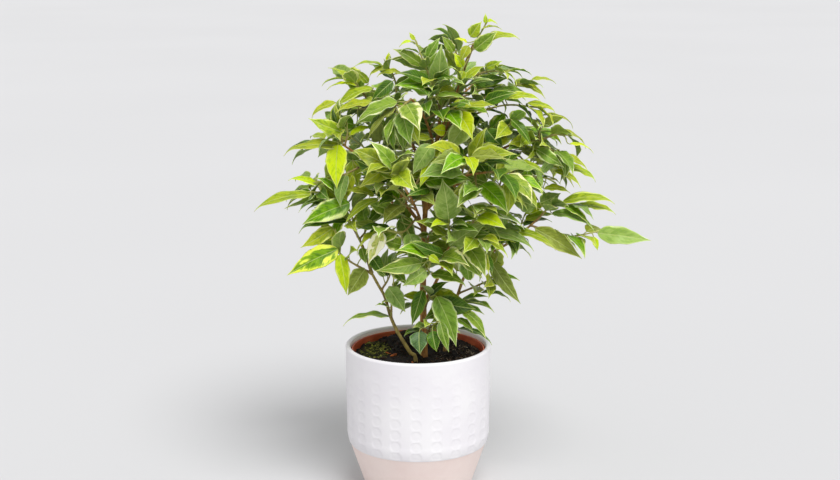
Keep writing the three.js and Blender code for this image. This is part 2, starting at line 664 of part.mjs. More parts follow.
const LEAF_STATIONS = [
  { t: 0, across: 'stalk' },
  { t: 0.27, across: 'folded' },
  { t: 0.62, across: 'flat' },
  { t: 1 },
];

function bladeStations(leaf, thickness, growth) {
  return LEAF_STATIONS.map((place) => station(leaf, place, thickness, growth));
}

function stalkMesh(leaf, growth) {
  return tube([leaf.root, leaf.base], grown([PETIOLE_RADIUS, PETIOLE_RADIUS], growth), TWIG_SIDES);
}

// The three corners of a twig at shares of its length: low right, top and low left at its foot, and carried
// along from there without twisting
function twigRings(twig, shares) {
  const right = pointAlong(twig, 0).forward.cross(new THREE.Vector3(0, 0, 1));
  return shares.map((share) => {
    const { point, forward } = pointAlong(twig, share);
    right.addScaledVector(forward, -right.dot(forward)).normalize();
    const up = right.clone().cross(forward);
    const radius = mix(TWIG_RADII[0], TWIG_RADII[1], share);
    return [-30, 90, 210].map((angle) => {
      const across = offset(point, right, radius * Math.cos(radians(angle)));
      return across.addScaledVector(up, radius * Math.sin(radians(angle)));
    });
  });
}

// The corners of a twig's opening, begun at the one that leads to a leaf's neck with the least twist
function untwisted(opening, neck) {
  const centred = (corners) => {
    const centre = corners.reduce((sum, corner) => sum.add(corner), new THREE.Vector3()).divideScalar(3);
    return corners.map((corner) => corner.clone().sub(centre));
  };
  const [from, to] = [centred(opening.map(({ corner }) => corner)), centred(neck)];
  const twist = (turn) => to.reduce((sum, corner, i) => sum + corner.distanceTo(from[(i + turn) % 3]), 0);
  const best = [0, 1, 2].reduce((least, turn) => (twist(turn) < twist(least) ? turn : least), 0);
  return [0, 1, 2].map((i) => opening[(i + best) % 3].index);
}

// The corners where a stalk meets its blade, turned to lie across the way halfway between theirs
function neckRing(leaf, corners) {
  const halfway = stalkWay(leaf).add(leaf.axis).normalize();
  const turn = new THREE.Quaternion().setFromUnitVectors(leaf.axis, halfway);
  return corners.map((corner) => corner.clone().sub(leaf.base).applyQuaternion(turn).add(leaf.base));
}

// Triangles round a stalk between two rings of three corners, with each side's fold turned outwards
function stalkSides(vertices, from, to) {
  const middle = new THREE.Vector3();
  for (const i of [...from, ...to]) middle.addScaledVector(vertices[i], 1 / 6);
  const reach = (i, j) => vertices[i].clone().lerp(vertices[j], 0.5).distanceTo(middle);
  return [0, 1, 2].flatMap((i) => {
    const [a, b, c, d] = [from[i], from[(i + 1) % 3], to[(i + 1) % 3], to[i]];
    return reach(a, c) > reach(b, d) ? [[a, b, c], [a, c, d]] : [[a, b, d], [b, c, d]];
  });
}

// The way a leaf's stalk leads from its twig
const stalkWay = (leaf) => leaf.base.clone().sub(leaf.root).normalize();

// Where a leaf's stalk opens along its twig. At the tip it opens from the twig's end, unless it turns back.
function openingAt(twig, leaf) {
  const turnsBack = stalkWay(leaf).dot(pointAlong(twig, leaf.share).forward) < LEAST_FORWARD;
  return turnsBack ? Math.min(leaf.share, TIP_SIDE_AT) : leaf.share;
}

// Which side of a twig, between two corners of its ring, looks the way of a stalk
function sideTowards(ring, way) {
  const sums = ring.map((corner, k) => corner.dot(way) + ring[(k + 1) % 3].dot(way));
  return sums.indexOf(Math.max(...sums));
}

// A spray is one closed mesh: a three-sided twig whose side faces open into the stalks of its leaves.
function sprayMesh({ twig, leaves }) {
  const vertices = [];
  const triangles = [];
  const add = (corner) => vertices.push(corner) - 1;
  const growBlade = (foot, leaf) => {
    const blade = loft(bladeStations(leaf, LEAF_THICKNESS, 0), { open: true });
    blade.vertices.splice(0, 3, ...neckRing(leaf, blade.vertices.slice(0, 3)));
    const corners = foot.map((index) => ({ index, corner: vertices[index] }));
    const root = untwisted(corners, blade.vertices.slice(0, 3));
    const first = vertices.length;
    vertices.push(...blade.vertices);
    triangles.push(...blade.triangles.map((corners) => corners.map((i) => i + first)));
    triangles.push(...stalkSides(vertices, root, [first, first + 1, first + 2]));
  };
  const shares = [0, ...leaves.map((leaf) => openingAt(twig, leaf))];
  if (shares[shares.length - 1] < 1) shares.push(1);
  const rings = twigRings(twig, shares).map((ring) => ring.map(add));
  triangles.push([...rings[0]]);
  for (let i = 0; i < rings.length - 1; i++) {
    const leaf = leaves[i - 1];
    const side = leaf ? sideTowards(rings[i].map((corner) => vertices[corner]), stalkWay(leaf)) : -1;
    for (let k = 0; k < 3; k++) {
      const [a, b] = [rings[i][k], rings[i + 1][k]];
      const [c, d] = [rings[i + 1][(k + 1) % 3], rings[i][(k + 1) % 3]];
      if (k !== side) {
        triangles.push([a, b, c], [a, c, d]);
        continue;
      }
      const middle = vertices[a].clone().lerp(vertices[d], 0.5);
      const next = vertices[b].clone().lerp(vertices[c], 0.5);
      const foot = Math.min(STALK_FOOT.length / middle.distanceTo(next), STALK_FOOT.mostOfGap);
      const ahead = add(middle.lerp(next, foot));
      triangles.push([a, b, ahead], [b, c, ahead], [ahead, c, d]);
      growBlade([a, ahead, d], leaf);
    }
  }
  const [right, top, left] = rings[rings.length - 1];
  if (rings.length === leaves.length + 1) growBlade([top, right, left], leaves[leaves.length - 1]);
  else triangles.push([right, left, top]);
  return { vertices, triangles };
}

// Room between pieces

// A mesh with its edges and a ball around it, for the tests of what crosses what
function obstacle({ vertices, triangles }, owner = '') {
  const edges = [];
  for (const [p, q, r] of triangles) {
    for (const [from, to] of [[p, q], [q, r], [r, p]]) {
      if (from < to) edges.push([vertices[from], vertices[to]]);
    }
  }
  const centre = vertices.reduce((sum, v) => sum.add(v), new THREE.Vector3()).divideScalar(vertices.length);
  const radius = Math.max(...vertices.map((v) => v.distanceTo(centre)));
  const faces = triangles.map((corners) => corners.map((i) => vertices[i]));
  return { edges, faces, centre, radius, owner };
}

function edgeMeetsFace([from, to], [a, b, c]) {
  const along = to.clone().sub(from);
  const [ab, ac] = [b.clone().sub(a), c.clone().sub(a)];
  const h = along.clone().cross(ac);
  const det = ab.dot(h);
  if (Math.abs(det) < 1e-12) return false;
  const s = from.clone().sub(a);
  const u = s.dot(h) / det;
  if (u < 0 || u > 1) return false;
  const q = s.cross(ab);
  const v = along.dot(q) / det;
  if (v < 0 || u + v > 1) return false;
  const t = ac.dot(q) / det;
  return t >= 0 && t <= 1;
}

function crosses(one, other) {
  if (one.centre.distanceTo(other.centre) > one.radius + other.radius) return false;
  const pierces = (a, b) => a.edges.some((edge) => b.faces.some((face) => edgeMeetsFace(edge, face)));
  return pierces(one, other) || pierces(other, one);
}

// A leaf drawn by rule: leaves leave the twig on either side in turn, and face up and outwards.
function drawLeaf(twig, share, side, longest, looseness, draw) {
  const { point: root, forward } = pointAlong(twig, share);
  const jitter = (spread, looser) => (draw() * 2 - 1) * (spread + looser * looseness);
  const between = ([low, high]) => mix(low, high, draw());
  const heading = THREE.MathUtils.radToDeg(Math.atan2(forward.y, forward.x));
  const rise = THREE.MathUtils.radToDeg(Math.asin(forward.z));
  const turn = side * mix(RULE.turnAtFoot, RULE.turnAtTip, share);
  const leafHeading = heading + turn + jitter(RULE.turnSpread, RULE.turnLooser);
  const leafRise = RULE.keepOfRise * rise - RULE.drop + jitter(RULE.riseSpread, RULE.looser);
  const petiole = direction(mix(heading, leafHeading, RULE.stalkTurn), leafRise + RULE.stalkRise);
  const axis = direction(leafHeading, leafRise);
  const outward = new THREE.Vector3(root.x - CROWN_AXIS.x, root.y - CROWN_AXIS.y, 0).normalize();
  const lean = outward.multiplyScalar(OUTWARD_LEAN).add(new THREE.Vector3(0, 0, 1));
  const level = lean.addScaledVector(axis, -lean.dot(axis)).normalize();
  const normal = level.applyAxisAngle(axis, radians(jitter(RULE.rollSpread, RULE.looser)));
  const towardsTip = mix(1, RULE.tipLeaf, Math.pow(share, RULE.tipLeafOnset));
  const length = longest * towardsTip * between(RULE.lengthSpread);
  return {
    share,
    root,
    base: offset(root, petiole, PETIOLE_LENGTH * (length / RULE.fullLeaf)),
    axis,
    normal,
    length,
    width: length * LEAF_SLENDERNESS * between(RULE.widthSpread),
    fold: between(RULE.fold),
    bend: between(RULE.bend),
  };
}

// A leaf between two chosen points. Its axis is turned up, so that the bent blade ends at its tip.
function bladeBetween(base, tip, width, face) {
  const bend = CHOSEN_BENDS[face];
  const chord = tip.clone().sub(base);
  const [x, y, z] = [new THREE.Vector3(1, 0, 0), new THREE.Vector3(), new THREE.Vector3(0, 0, 1)];
  const sag = midrib({ base: y, axis: x, normal: z, length: 1, bend }, 1).point;
  const turn = Math.atan2(-sag.z, sag.x);
  const length = chord.length() / Math.hypot(sag.x, sag.z);
  const straight = chord.normalize();
  const facing = direction(...FACES[face]);
  const level = facing.addScaledVector(straight, -facing.dot(straight)).normalize();
  const axis = straight.clone().multiplyScalar(Math.cos(turn)).addScaledVector(level, Math.sin(turn));
  const normal = level.multiplyScalar(Math.cos(turn)).addScaledVector(straight, -Math.sin(turn));
  return { base, axis, normal, length, width, fold: CHOSEN_FOLD, bend };
}

// The shoot and the place on its twig nearest to a point
function nearestTwig(twigs, target) {
  let nearest = { distance: Infinity };
  twigs.forEach((twig, shoot) => {
    for (let i = FIRST_CHOSEN_STEP; i <= NEAREST_STEPS; i++) {
      const share = i / NEAREST_STEPS;
      const distance = pointAlong(twig, share).point.distanceTo(target);
      if (distance < nearest.distance) nearest = { shoot, share, distance };
    }
  });
  return nearest;
}

// Spreads the leaves of a shoot along its twig, in order, so that no two leave it at the same place.
function spread(leaves) {
  leaves.sort((one, other) => one.share - other.share);
  for (let i = 1; i < leaves.length; i++) {
    leaves[i].share = Math.max(leaves[i].share, leaves[i - 1].share + LEAF_SPACING);
  }
  for (let i = leaves.length - 1, limit = 1; i >= 0; i--, limit = leaves[i + 1].share - LEAF_SPACING) {
    leaves[i].share = Math.min(leaves[i].share, limit);
    if (leaves[i].share > LAST_SIDE_LEAF_AT) leaves[i].share = 1;
  }
}

// The chosen leaves of each shoot
function assignChosen(twigs) {
  const shoots = twigs.map(() => []);
  for (const [base, tip, width, face] of CHOSEN_LEAVES) {
    const { shoot, share } = nearestTwig(twigs, vector(base));
    shoots[shoot].push({ share, base: vector(base), tip: vector(tip), width, face });
  }
  shoots.forEach(spread);
  return shoots;
}

// Neighbouring leaves of a shoot trade places on the twig wherever that makes their stalks shorter in all,
// because stalks that cross are longer than the same two uncrossed.
function uncross(leaves) {
  for (let i = 0; i < leaves.length - 1; i++) {
    const [one, next] = [leaves[i], leaves[i + 1]];
    const asTheyAre = one.root.distanceTo(one.base) + next.root.distanceTo(next.base);
    const traded = one.root.distanceTo(next.base) + next.root.distanceTo(one.base);
    if (traded < asTheyAre) {
      [one.root, next.root] = [next.root, one.root];
      [one.share, next.share] = [next.share, one.share];
      [leaves[i], leaves[i + 1]] = [next, one];
    }
  }
}

// Places every leaf where it crosses nothing placed before, trying other places or looser draws in turn.
function growCrown() {
  const shoots = Object.values(SHOOTS);
  const twigs = shoots.map(twigPoints);
  const limbs = Object.entries(LIMBS).map(([name, limb]) =>
    obstacle(tube(woodPoints(limb), limb.radii, limb.sides), name));
  const twigObstacles = twigs.map((points, i) => obstacle(tube(points, TWIG_RADII, TWIG_SIDES), i));
  const obstacles = [...limbs, ...twigObstacles];
  const crown = twigs.map((twig) => ({ twig, leaves: [] }));
  const placed = (shoot, leaf) => {
    const blade = obstacle(loft(bladeStations(leaf, GUARD_THICKNESS, GUARD_GROWTH)));
    const stalk = obstacle(stalkMesh(leaf, GUARD_GROWTH / 2));
    if (obstacles.some((o) => crosses(blade, o) || (o.owner !== shoot && crosses(stalk, o)))) return false;
    crown[shoot].leaves.push(leaf);
    obstacles.push(obstacle(loft(bladeStations(leaf, LEAF_THICKNESS, 0))));
    obstacles.push(obstacle(stalkMesh(leaf, 0), shoot));
    return true;
  };
  assignChosen(twigs).forEach((chosen, shoot) => chosen.forEach(({ share, base, tip, width, face }) => {
    const root = pointAlong(twigs[shoot], share).point;
    CHOSEN_SHIFTS.some((shift) => {
      const away = new THREE.Vector3(0, shift, 0);
      const blade = bladeBetween(base.clone().add(away), tip.clone().add(away), width, face);
      return placed(shoot, { ...blade, share, root });
    });
  }));
  shoots.forEach(({ leaves: count, longest }, shoot) => {
    const draw = seededDraw(FIRST_SEED + shoot);
    for (let order = 0; order < count; order++) {
      const share = mix(FIRST_LEAF_AT, 1, order / (count - 1));
      const side = order === count - 1 ? 0 : (order % 2 ? 1 : -1);
      const taken = crown[shoot].leaves.some((leaf) => Math.abs(leaf.share - share) < LEAF_SPACING);
      for (let attempt = 0; !taken && attempt < TRIES_PER_LEAF; attempt++) {
        if (placed(shoot, drawLeaf(twigs[shoot], share, side, longest, attempt / 2, draw))) break;
      }
    }
  });
  for (const { leaves } of crown) {
    leaves.sort((one, other) => one.share - other.share);
    uncross(leaves);
  }
  return crown;
}

// Pots and soil

function coverPotGeometry() {
  const inner = COVER_RIM_RADIUS - COVER_WALL;
  const halfPitch = DIMPLE_PITCH / 2;
  const slope = (COVER_KNEE_RADIUS - COVER_BASE_RADIUS) / COVER_KNEE_Z;
  const wallRadius = (z) => Math.min(
    mix(COVER_KNEE_RADIUS, COVER_RIM_RADIUS, (z - COVER_KNEE_Z) / (COVER_HEIGHT - COVER_KNEE_Z)),
    COVER_BASE_RADIUS + slope * z,
  );
  const dimpleRows = Array.from({ length: 2 * DIMPLE_ROWS + 1 }, (_, i) =>
    DIMPLE_TOP_Z + halfPitch - halfPitch * (2 * DIMPLE_ROWS - i));
  const profile = [
    [0, 0],
    [COVER_BASE_RADIUS - COVER_FOOT_BEVEL, 0],
    [COVER_BASE_RADIUS, COVER_FOOT_BEVEL],
    ...dimpleRows.map((z) => [wallRadius(z), z]),
    [COVER_RIM_RADIUS - COVER_WALL / 2, COVER_HEIGHT],
    [inner, COVER_HEIGHT - COVER_RIM_ROUND],
    [inner - COVER_INNER_KNEE.inset, COVER_KNEE_Z + COVER_INNER_KNEE.rise],
    [COVER_BASE_RADIUS - COVER_WALL, COVER_FLOOR],
    [0, COVER_FLOOR],
  ];
  const geometry = new THREE.LatheGeometry(
    profile.map(([r, z]) => new THREE.Vector2(r, z)),
    2 * DIMPLE_COLUMNS,
    DIMPLE_FIRST_ANGLE,
  ).rotateX(Math.PI / 2);
  pressDimples(geometry, dimpleRows);
  return geometry;
}

// Pushes the middle of each impression into the wall, and turns the faces round it into a fan.
function pressDimples(geometry, rows) {
  const { index, attributes: { position } } = geometry;
  const turn = (2 * Math.PI) / DIMPLE_COLUMNS;
  const pressed = new Set();
  for (let i = 0; i < position.count; i++) {
    const [x, y, z] = [position.getX(i), position.getY(i), position.getZ(i)];
    const radius = Math.hypot(x, y);
    const column = (Math.atan2(x, -y) - DIMPLE_FIRST_ANGLE) / turn;
    const inColumn = Math.abs(column - Math.round(column)) < COLUMN_TOLERANCE;
    const row = rows.findIndex((level) => Math.abs(level - z) < ROW_TOLERANCE);
    if (inColumn && row % 2 === 1 && radius > NURSERY_BASE_RADIUS) {
      const scale = (radius - DIMPLE_DEPTH) / radius;
      position.setXYZ(i, x * scale, y * scale, z);
      pressed.add(i);
    }
  }
  for (let i = 0; i < index.count; i += 6) {
    const [a, b, d, c] = [0, 1, 2, 3].map((k) => index.getX(i + k));
    if (pressed.has(a) || pressed.has(c)) {
      [a, b, c, a, c, d].forEach((corner, k) => index.setX(i + k, corner));
    }
  }
}

function nurseryPotGeometry() {
  const floor = COVER_FLOOR + GAP;
  const top = floor + NURSERY_HEIGHT;
  const lipFoot = top - NURSERY_LIP_HEIGHT;
  const shoulder = NURSERY_RIM_RADIUS - NURSERY_LIP;
  const profile = [
    [0, floor],
    [NURSERY_BASE_RADIUS, floor],
    [shoulder, lipFoot],
    [NURSERY_RIM_RADIUS, lipFoot + NURSERY_LIP],
    [NURSERY_RIM_RADIUS, top],
    [shoulder, top],
    [shoulder - NURSERY_WALL, lipFoot],
    [NURSERY_BASE_RADIUS - NURSERY_WALL, floor + NURSERY_WALL],
    [0, floor + NURSERY_WALL],
  ];
  return new THREE.LatheGeometry(
    profile.map(([r, z]) => new THREE.Vector2(r, z)),
    NURSERY_SIDES,
  ).rotateX(Math.PI / 2);
}

// Height of the soil: it slopes up to a mound at the back, with uneven clods
function soilHeight(x, y) {
  const { broad, fine, fineShare } = SOIL_CLODS;
  const broadClods = Math.sin(x * broad[0] + 1) * Math.cos(y * broad[1]);
  const clods = broadClods + fineShare * Math.sin(x * fine[0] - y * fine[1]);
  const fromMound = Math.hypot(x - SOIL_MOUND.x, y - SOIL_MOUND.y) / SOIL_MOUND.spread;
  const mound = SOIL_MOUND.height * Math.exp((-fromMound * fromMound) / 2);
  return SOIL_LEVEL + SOIL_RISE * (y / NURSERY_RIM_RADIUS) + SOIL_BUMP * clods + mound;
}

// The soil fills the nursery pot, and each stem stands in a hole in it.
function soilSolid() {
  const floor = COVER_FLOOR + GAP + NURSERY_WALL + GAP;
  const lipFoot = COVER_FLOOR + GAP + NURSERY_HEIGHT - NURSERY_LIP_HEIGHT;
  const base = NURSERY_BASE_RADIUS - NURSERY_WALL - 2 * GAP;
  const shoulder = NURSERY_RIM_RADIUS - NURSERY_LIP - NURSERY_WALL - 2 * GAP;
  const profile = [[0, floor], [base, floor], [shoulder, lipFoot]];
  for (const share of [1, ...[...SOIL_RINGS].reverse(), 0]) profile.push([shoulder * share, SOIL_LEVEL]);
  const geometry = new THREE.LatheGeometry(
    profile.map(([r, z]) => new THREE.Vector2(r, z)),
    NURSERY_SIDES,
  ).rotateX(Math.PI / 2);
  const position = geometry.attributes.position;
  for (let i = 0; i < position.count; i++) {
    if (position.getZ(i) > SOIL_LEVEL - GAP) {
      position.setZ(i, soilHeight(position.getX(i), position.getY(i)));
    }
  }
  return Object.keys(STEMS).reduce(
    (soil, name) => soil.subtract(limbSolid(name, GAP)),
    solidOf(geometry),
  );
}

// Materials

const material = (color, roughness) => new THREE.MeshStandardMaterial({ color, roughness, metalness: 0 });
const MATERIALS = {
  glaze: material(0xf0eef2, 0.45),
  plastic: material(0x9a4526, 0.5),
  soil: material(0x2a2018, 0.95),
  bark: material(0x7c5a3a, 0.8),
  leaf: material(0x7fa03c, 0.45),
};

const plant = new THREE.Group();

function place(name, geometry, look) {
  const mesh = new THREE.Mesh(geometry, look);
  mesh.name = name;
  plant.add(mesh);
}

place('cover_pot', coverPotGeometry(), MATERIALS.glaze);
place('nursery_pot', nurseryPotGeometry(), MATERIALS.plastic);
place('soil', geometryOf(soilSolid()), MATERIALS.soil);
for (const name of Object.keys(STEMS)) place(name, geometryOf(stemSolid(name)), MATERIALS.bark);

const shootNames = Object.keys(SHOOTS);
growCrown().forEach((spray, i) => {
  const { vertices, triangles } = sprayMesh(spray);
  place(`spray_${shootNames[i]}`, geometryOf(solidFrom(vertices, triangles)), MATERIALS.leaf);
});

export default plant;
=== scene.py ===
import math

import bmesh
import bpy
import numpy as np
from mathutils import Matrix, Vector, noise


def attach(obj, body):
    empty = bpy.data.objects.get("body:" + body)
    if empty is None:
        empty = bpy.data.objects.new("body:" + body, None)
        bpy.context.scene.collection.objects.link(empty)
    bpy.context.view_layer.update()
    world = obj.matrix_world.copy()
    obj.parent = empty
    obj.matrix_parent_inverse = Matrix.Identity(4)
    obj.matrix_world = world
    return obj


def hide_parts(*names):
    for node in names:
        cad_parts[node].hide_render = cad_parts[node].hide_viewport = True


# The looks of a variegated weeping fig in its two pots. Lengths are in millimetres until a mesh is made,
# +Z is up and the front is -Y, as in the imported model.

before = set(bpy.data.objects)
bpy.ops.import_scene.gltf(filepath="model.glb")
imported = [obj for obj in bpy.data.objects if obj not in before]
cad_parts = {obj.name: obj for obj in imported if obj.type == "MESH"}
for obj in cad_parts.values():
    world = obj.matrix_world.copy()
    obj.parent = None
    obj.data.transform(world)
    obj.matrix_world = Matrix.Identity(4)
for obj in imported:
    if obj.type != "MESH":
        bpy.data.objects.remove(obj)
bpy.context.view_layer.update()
MM = 0.001

# Wood: every stem and branch tapers along a curve through given points
STEMS = {
    "trunk": {
        "radii": (3.9, 1.3),
        "route": [(5.6, -6, 92), (5.6, -6, 131), (4.7, -4, 191), (5.5, -2, 247), (9, 0, 286),
                  (14.6, 2, 314), (19, 3, 343), (21.5, 1, 372)],
        "branches": {
            "leader": ((1.6, 0.9), [(14.6, 2, 314), (22, 4, 333), (28, 5, 348), (34, 6, 369),
                                    (42, 3, 399), (50, -1, 420)]),
            "front_right": ((1.7, 0.9), [(5, -4, 180), (15, -16, 200), (24, -34, 226), (28, -44, 242),
                                         (37, -50, 250), (46, -54, 259)]),
            "back_left": ((1.6, 0.9), [(5, -3, 220), (-8, 14, 244), (-26, 36, 270), (-50, 56, 292),
                                       (-72, 66, 306)]),
            "back_right": ((1.7, 0.9), [(5.2, -3, 232), (20, 14, 256), (38, 38, 282), (58, 62, 302),
                                        (74, 76, 312)]),
            "front": ((1.5, 0.9), [(5.3, -3, 240), (2, -20, 262), (-5, -44, 284), (-10, -62, 296)]),
            "upper_left": ((1.7, 0.9), [(5.6, -2, 250), (-12, -10, 276), (-24, -16, 300),
                                        (-44, -22, 315), (-67, -28, 332)]),
            "back": ((1.6, 0.9), [(6.5, -1, 262), (2, 20, 292), (-4, 44, 320), (-12, 66, 338)]),
            "right": ((1.8, 0.9), [(7, -1, 268), (28, 2, 286), (50, 6, 300), (72, 8, 320),
                                   (96, 6, 330), (112, 2, 332)]),
            "low_front_right": ((1.5, 0.9), [(8, -1, 276), (24, -20, 292), (42, -42, 306),
                                             (60, -58, 312)]),
            "high_left": ((1.5, 0.9), [(12, 1, 300), (-4, 6, 324), (-22, 8, 346), (-44, 6, 366)]),
            "high_front": ((1.4, 0.9), [(16, 2, 322), (10, -14, 344), (2, -28, 364), (-6, -40, 374)]),
            "high_back": ((1.4, 0.9), [(17, 2, 330), (26, 20, 350), (38, 38, 366), (48, 50, 374)]),
        },
    },
    "left_stem": {
        "radii": (2.1, 1.2),
        "route": [(0, -20, 96.5), (-2.5, -20, 131.5), (-6.6, -21, 136.2), (-12.3, -22, 145.8),
                  (-20, -23, 159.7), (-25.7, -24, 174), (-30.4, -26, 191.5), (-36.1, -27, 202.6),
                  (-42, -28, 214)],
        "branches": {
            "left_low": ((1.3, 0.9), [(-42, -28, 214), (-47, -30, 217)]),
            "left_high": ((1.3, 0.9), [(-42, -28, 214), (-46, -26, 226), (-51, -24, 240),
                                       (-60, -20, 257), (-70, -14, 276)]),
        },
    },
    "right_stem": {
        "radii": (2.2, 1.2),
        "route": [(24, 7, 94), (26, 7, 138), (32, 8, 167), (37, 8, 184), (43, 8, 202), (49, 6, 214)],
        "branches": {
            "right_low": ((1.4, 0.9), [(49, 6, 214), (61, 2, 223), (76, -2, 232), (88, -4, 240),
                                       (101, -6, 252), (110, -6, 260)]),
            "right_high": ((1.5, 0.9), [(49, 6, 214), (56, 14, 236), (66, 24, 262), (80, 34, 284),
                                        (98, 42, 298)]),
        },
    },
}

# Leafy shoots: the branch each leaves and the place along it, the points of its twig, how many leaves it
# bears by rule, and the length of the longest of them
SHOOTS = {
    "top": ("leader", 0.75, [(50, -5, 418), (61, -5, 438)], 3, 26),
    "top_left": ("trunk", 1, [(8, -4, 396), (-1, -3, 420)], 4, 28),
    "crown_front": ("trunk", 0.93, [(12, -28, 388)], 7, 38),
    "top_right": ("leader", 0.7, [(80, 5, 394)], 5, 32),
    "left_top": ("high_left", 0.67, [(-20, 4, 382), (-29, 2, 402)], 6, 32),
    "left_top_out": ("high_left", 1, [(-63, 3, 386)], 4, 34),
    "high_left_back": ("high_left", 0.5, [(-34, 44, 372)], 8, 38),
    "upper_front_left": ("high_front", 0.6, [(-28, -20, 368), (-62, -16, 364)], 7, 36),
    "high_front_tip": ("high_front", 1, [(-18, -56, 362)], 7, 40),
    "high_front_right": ("high_front", 0.5, [(40, -40, 364)], 7, 40),
    "back_top": ("high_back", 1, [(66, 72, 386)], 8, 38),
    "back_top_left": ("high_back", 0.5, [(4, 50, 398)], 8, 38),
    "right_top": ("leader", 0.5, [(66, 8, 372), (99, 9, 384)], 6, 36),
    "right_top_low": ("leader", 0.35, [(74, -6, 364), (112, -3, 362)], 7, 36),
    "right_top_back": ("high_back", 0.7, [(74, 54, 372)], 8, 38),
    "right_up": ("right", 0.56, [(68, -6, 336), (86, -22, 352)], 6, 38),
    "right_tip": ("right", 1, [(138, 3, 336)], 5, 34),
    "right_tip_low": ("right", 0.85, [(134, -6, 314)], 5, 34),
    "right_front": ("right", 0.65, [(98, -32, 314)], 6, 38),
    "right_mid": ("right", 0.5, [(92, -6, 302), (122, -12, 298)], 6, 34),
    "right_back": ("right", 0.75, [(112, 50, 330)], 8, 40),
    "right_high_tip": ("right_high", 1, [(126, 56, 300)], 8, 40),
    "right_high_back": ("right_high", 0.6, [(88, 78, 292)], 8, 42),
    "right_low_tip": ("right_low", 1, [(121, -8, 271), (142, -7, 274)], 4, 36),
    "right_far": ("right_low", 0.85, [(136, -8, 244), (163, -7, 248)], 3, 34),
    "right_front_low": ("right_low", 0.5, [(76, -36, 256)], 5, 36),
    "right_stem_low": ("right_stem", 0.62, [(56, 0, 196), (68, -10, 206), (66, -16, 221)], 3, 34),
    "right_stem_front": ("right_stem", 0.45, [(38, -30, 182)], 4, 34),
    "front_tip": ("front", 1, [(-22, -74, 316)], 7, 42),
    "front_up": ("front", 0.8, [(4, -52, 312), (16, -50, 334)], 6, 40),
    "front_left": ("front", 0.6, [(-32, -42, 300)], 7, 42),
    "front_low_left": ("front", 0.4, [(-14, -42, 255), (-28, -56, 260)], 7, 42),
    "front_right_up": ("front_right", 0.62, [(27, -64, 266)], 3, 32),
    "front_right_tip": ("front_right", 1, [(54, -66, 280)], 4, 36),
    "front_right_low": ("front_right", 0.4, [(10, -58, 233)], 6, 40),
    "front_right_side": ("front_right", 0.75, [(48, -48, 240)], 5, 38),
    "low_front_tip": ("low_front_right", 1, [(70, -63, 313), (84, -56, 304)], 6, 40),
    "low_front_mid": ("low_front_right", 0.6, [(42, -68, 326)], 8, 42),
    "upper_left_tip": ("upper_left", 1, [(-70, -32, 346)], 3, 32),
    "upper_left_mid": ("upper_left", 0.65, [(-34, -22, 338)], 6, 40),
    "upper_left_low": ("upper_left", 0.75, [(-70, -32, 304), (-92, -30, 298)], 4, 34),
    "upper_left_back": ("upper_left", 0.35, [(-18, 4, 298), (-60, 22, 330)], 8, 40),
    "left_high_tip": ("left_high", 1, [(-79, -17, 286), (-96, -32, 290)], 4, 34),
    "left_high_front": ("left_high", 0.6, [(-64, -38, 280)], 4, 36),
    "left_high_back": ("left_high", 0.7, [(-98, 18, 290)], 8, 42),
    "left_low_tip": ("left_low", 1, [(-62, -34, 227), (-73, -37, 238), (-74, -37, 254)], 3, 34),
    "left_stem_low": ("left_stem", 0.6, [(-24, -31, 188), (-22, -31, 210)], 2, 18),
    "trunk_low": ("trunk", 0.24, [(12, -28, 192)], 3, 30),
    "foot": ("trunk", 0.17, [(14, -44, 170)], 3, 26),
    "back_left_tip": ("back_left", 1, [(-88, 86, 318)], 8, 42),
    "back_left_mid": ("back_left", 0.6, [(-38, 96, 308)], 8, 42),
    "back_tip": ("back", 1, [(-28, 106, 352)], 8, 42),
    "back_mid": ("back", 0.55, [(36, 78, 344)], 8, 42),
    "back_right_tip": ("back_right", 1, [(96, 108, 322)], 8, 42),
}

# Which way the upper side of a leaf faces: a heading and a rise in degrees
FACES = {"up": (270, 82), "tilted": (270, 64), "front": (268, 18)}
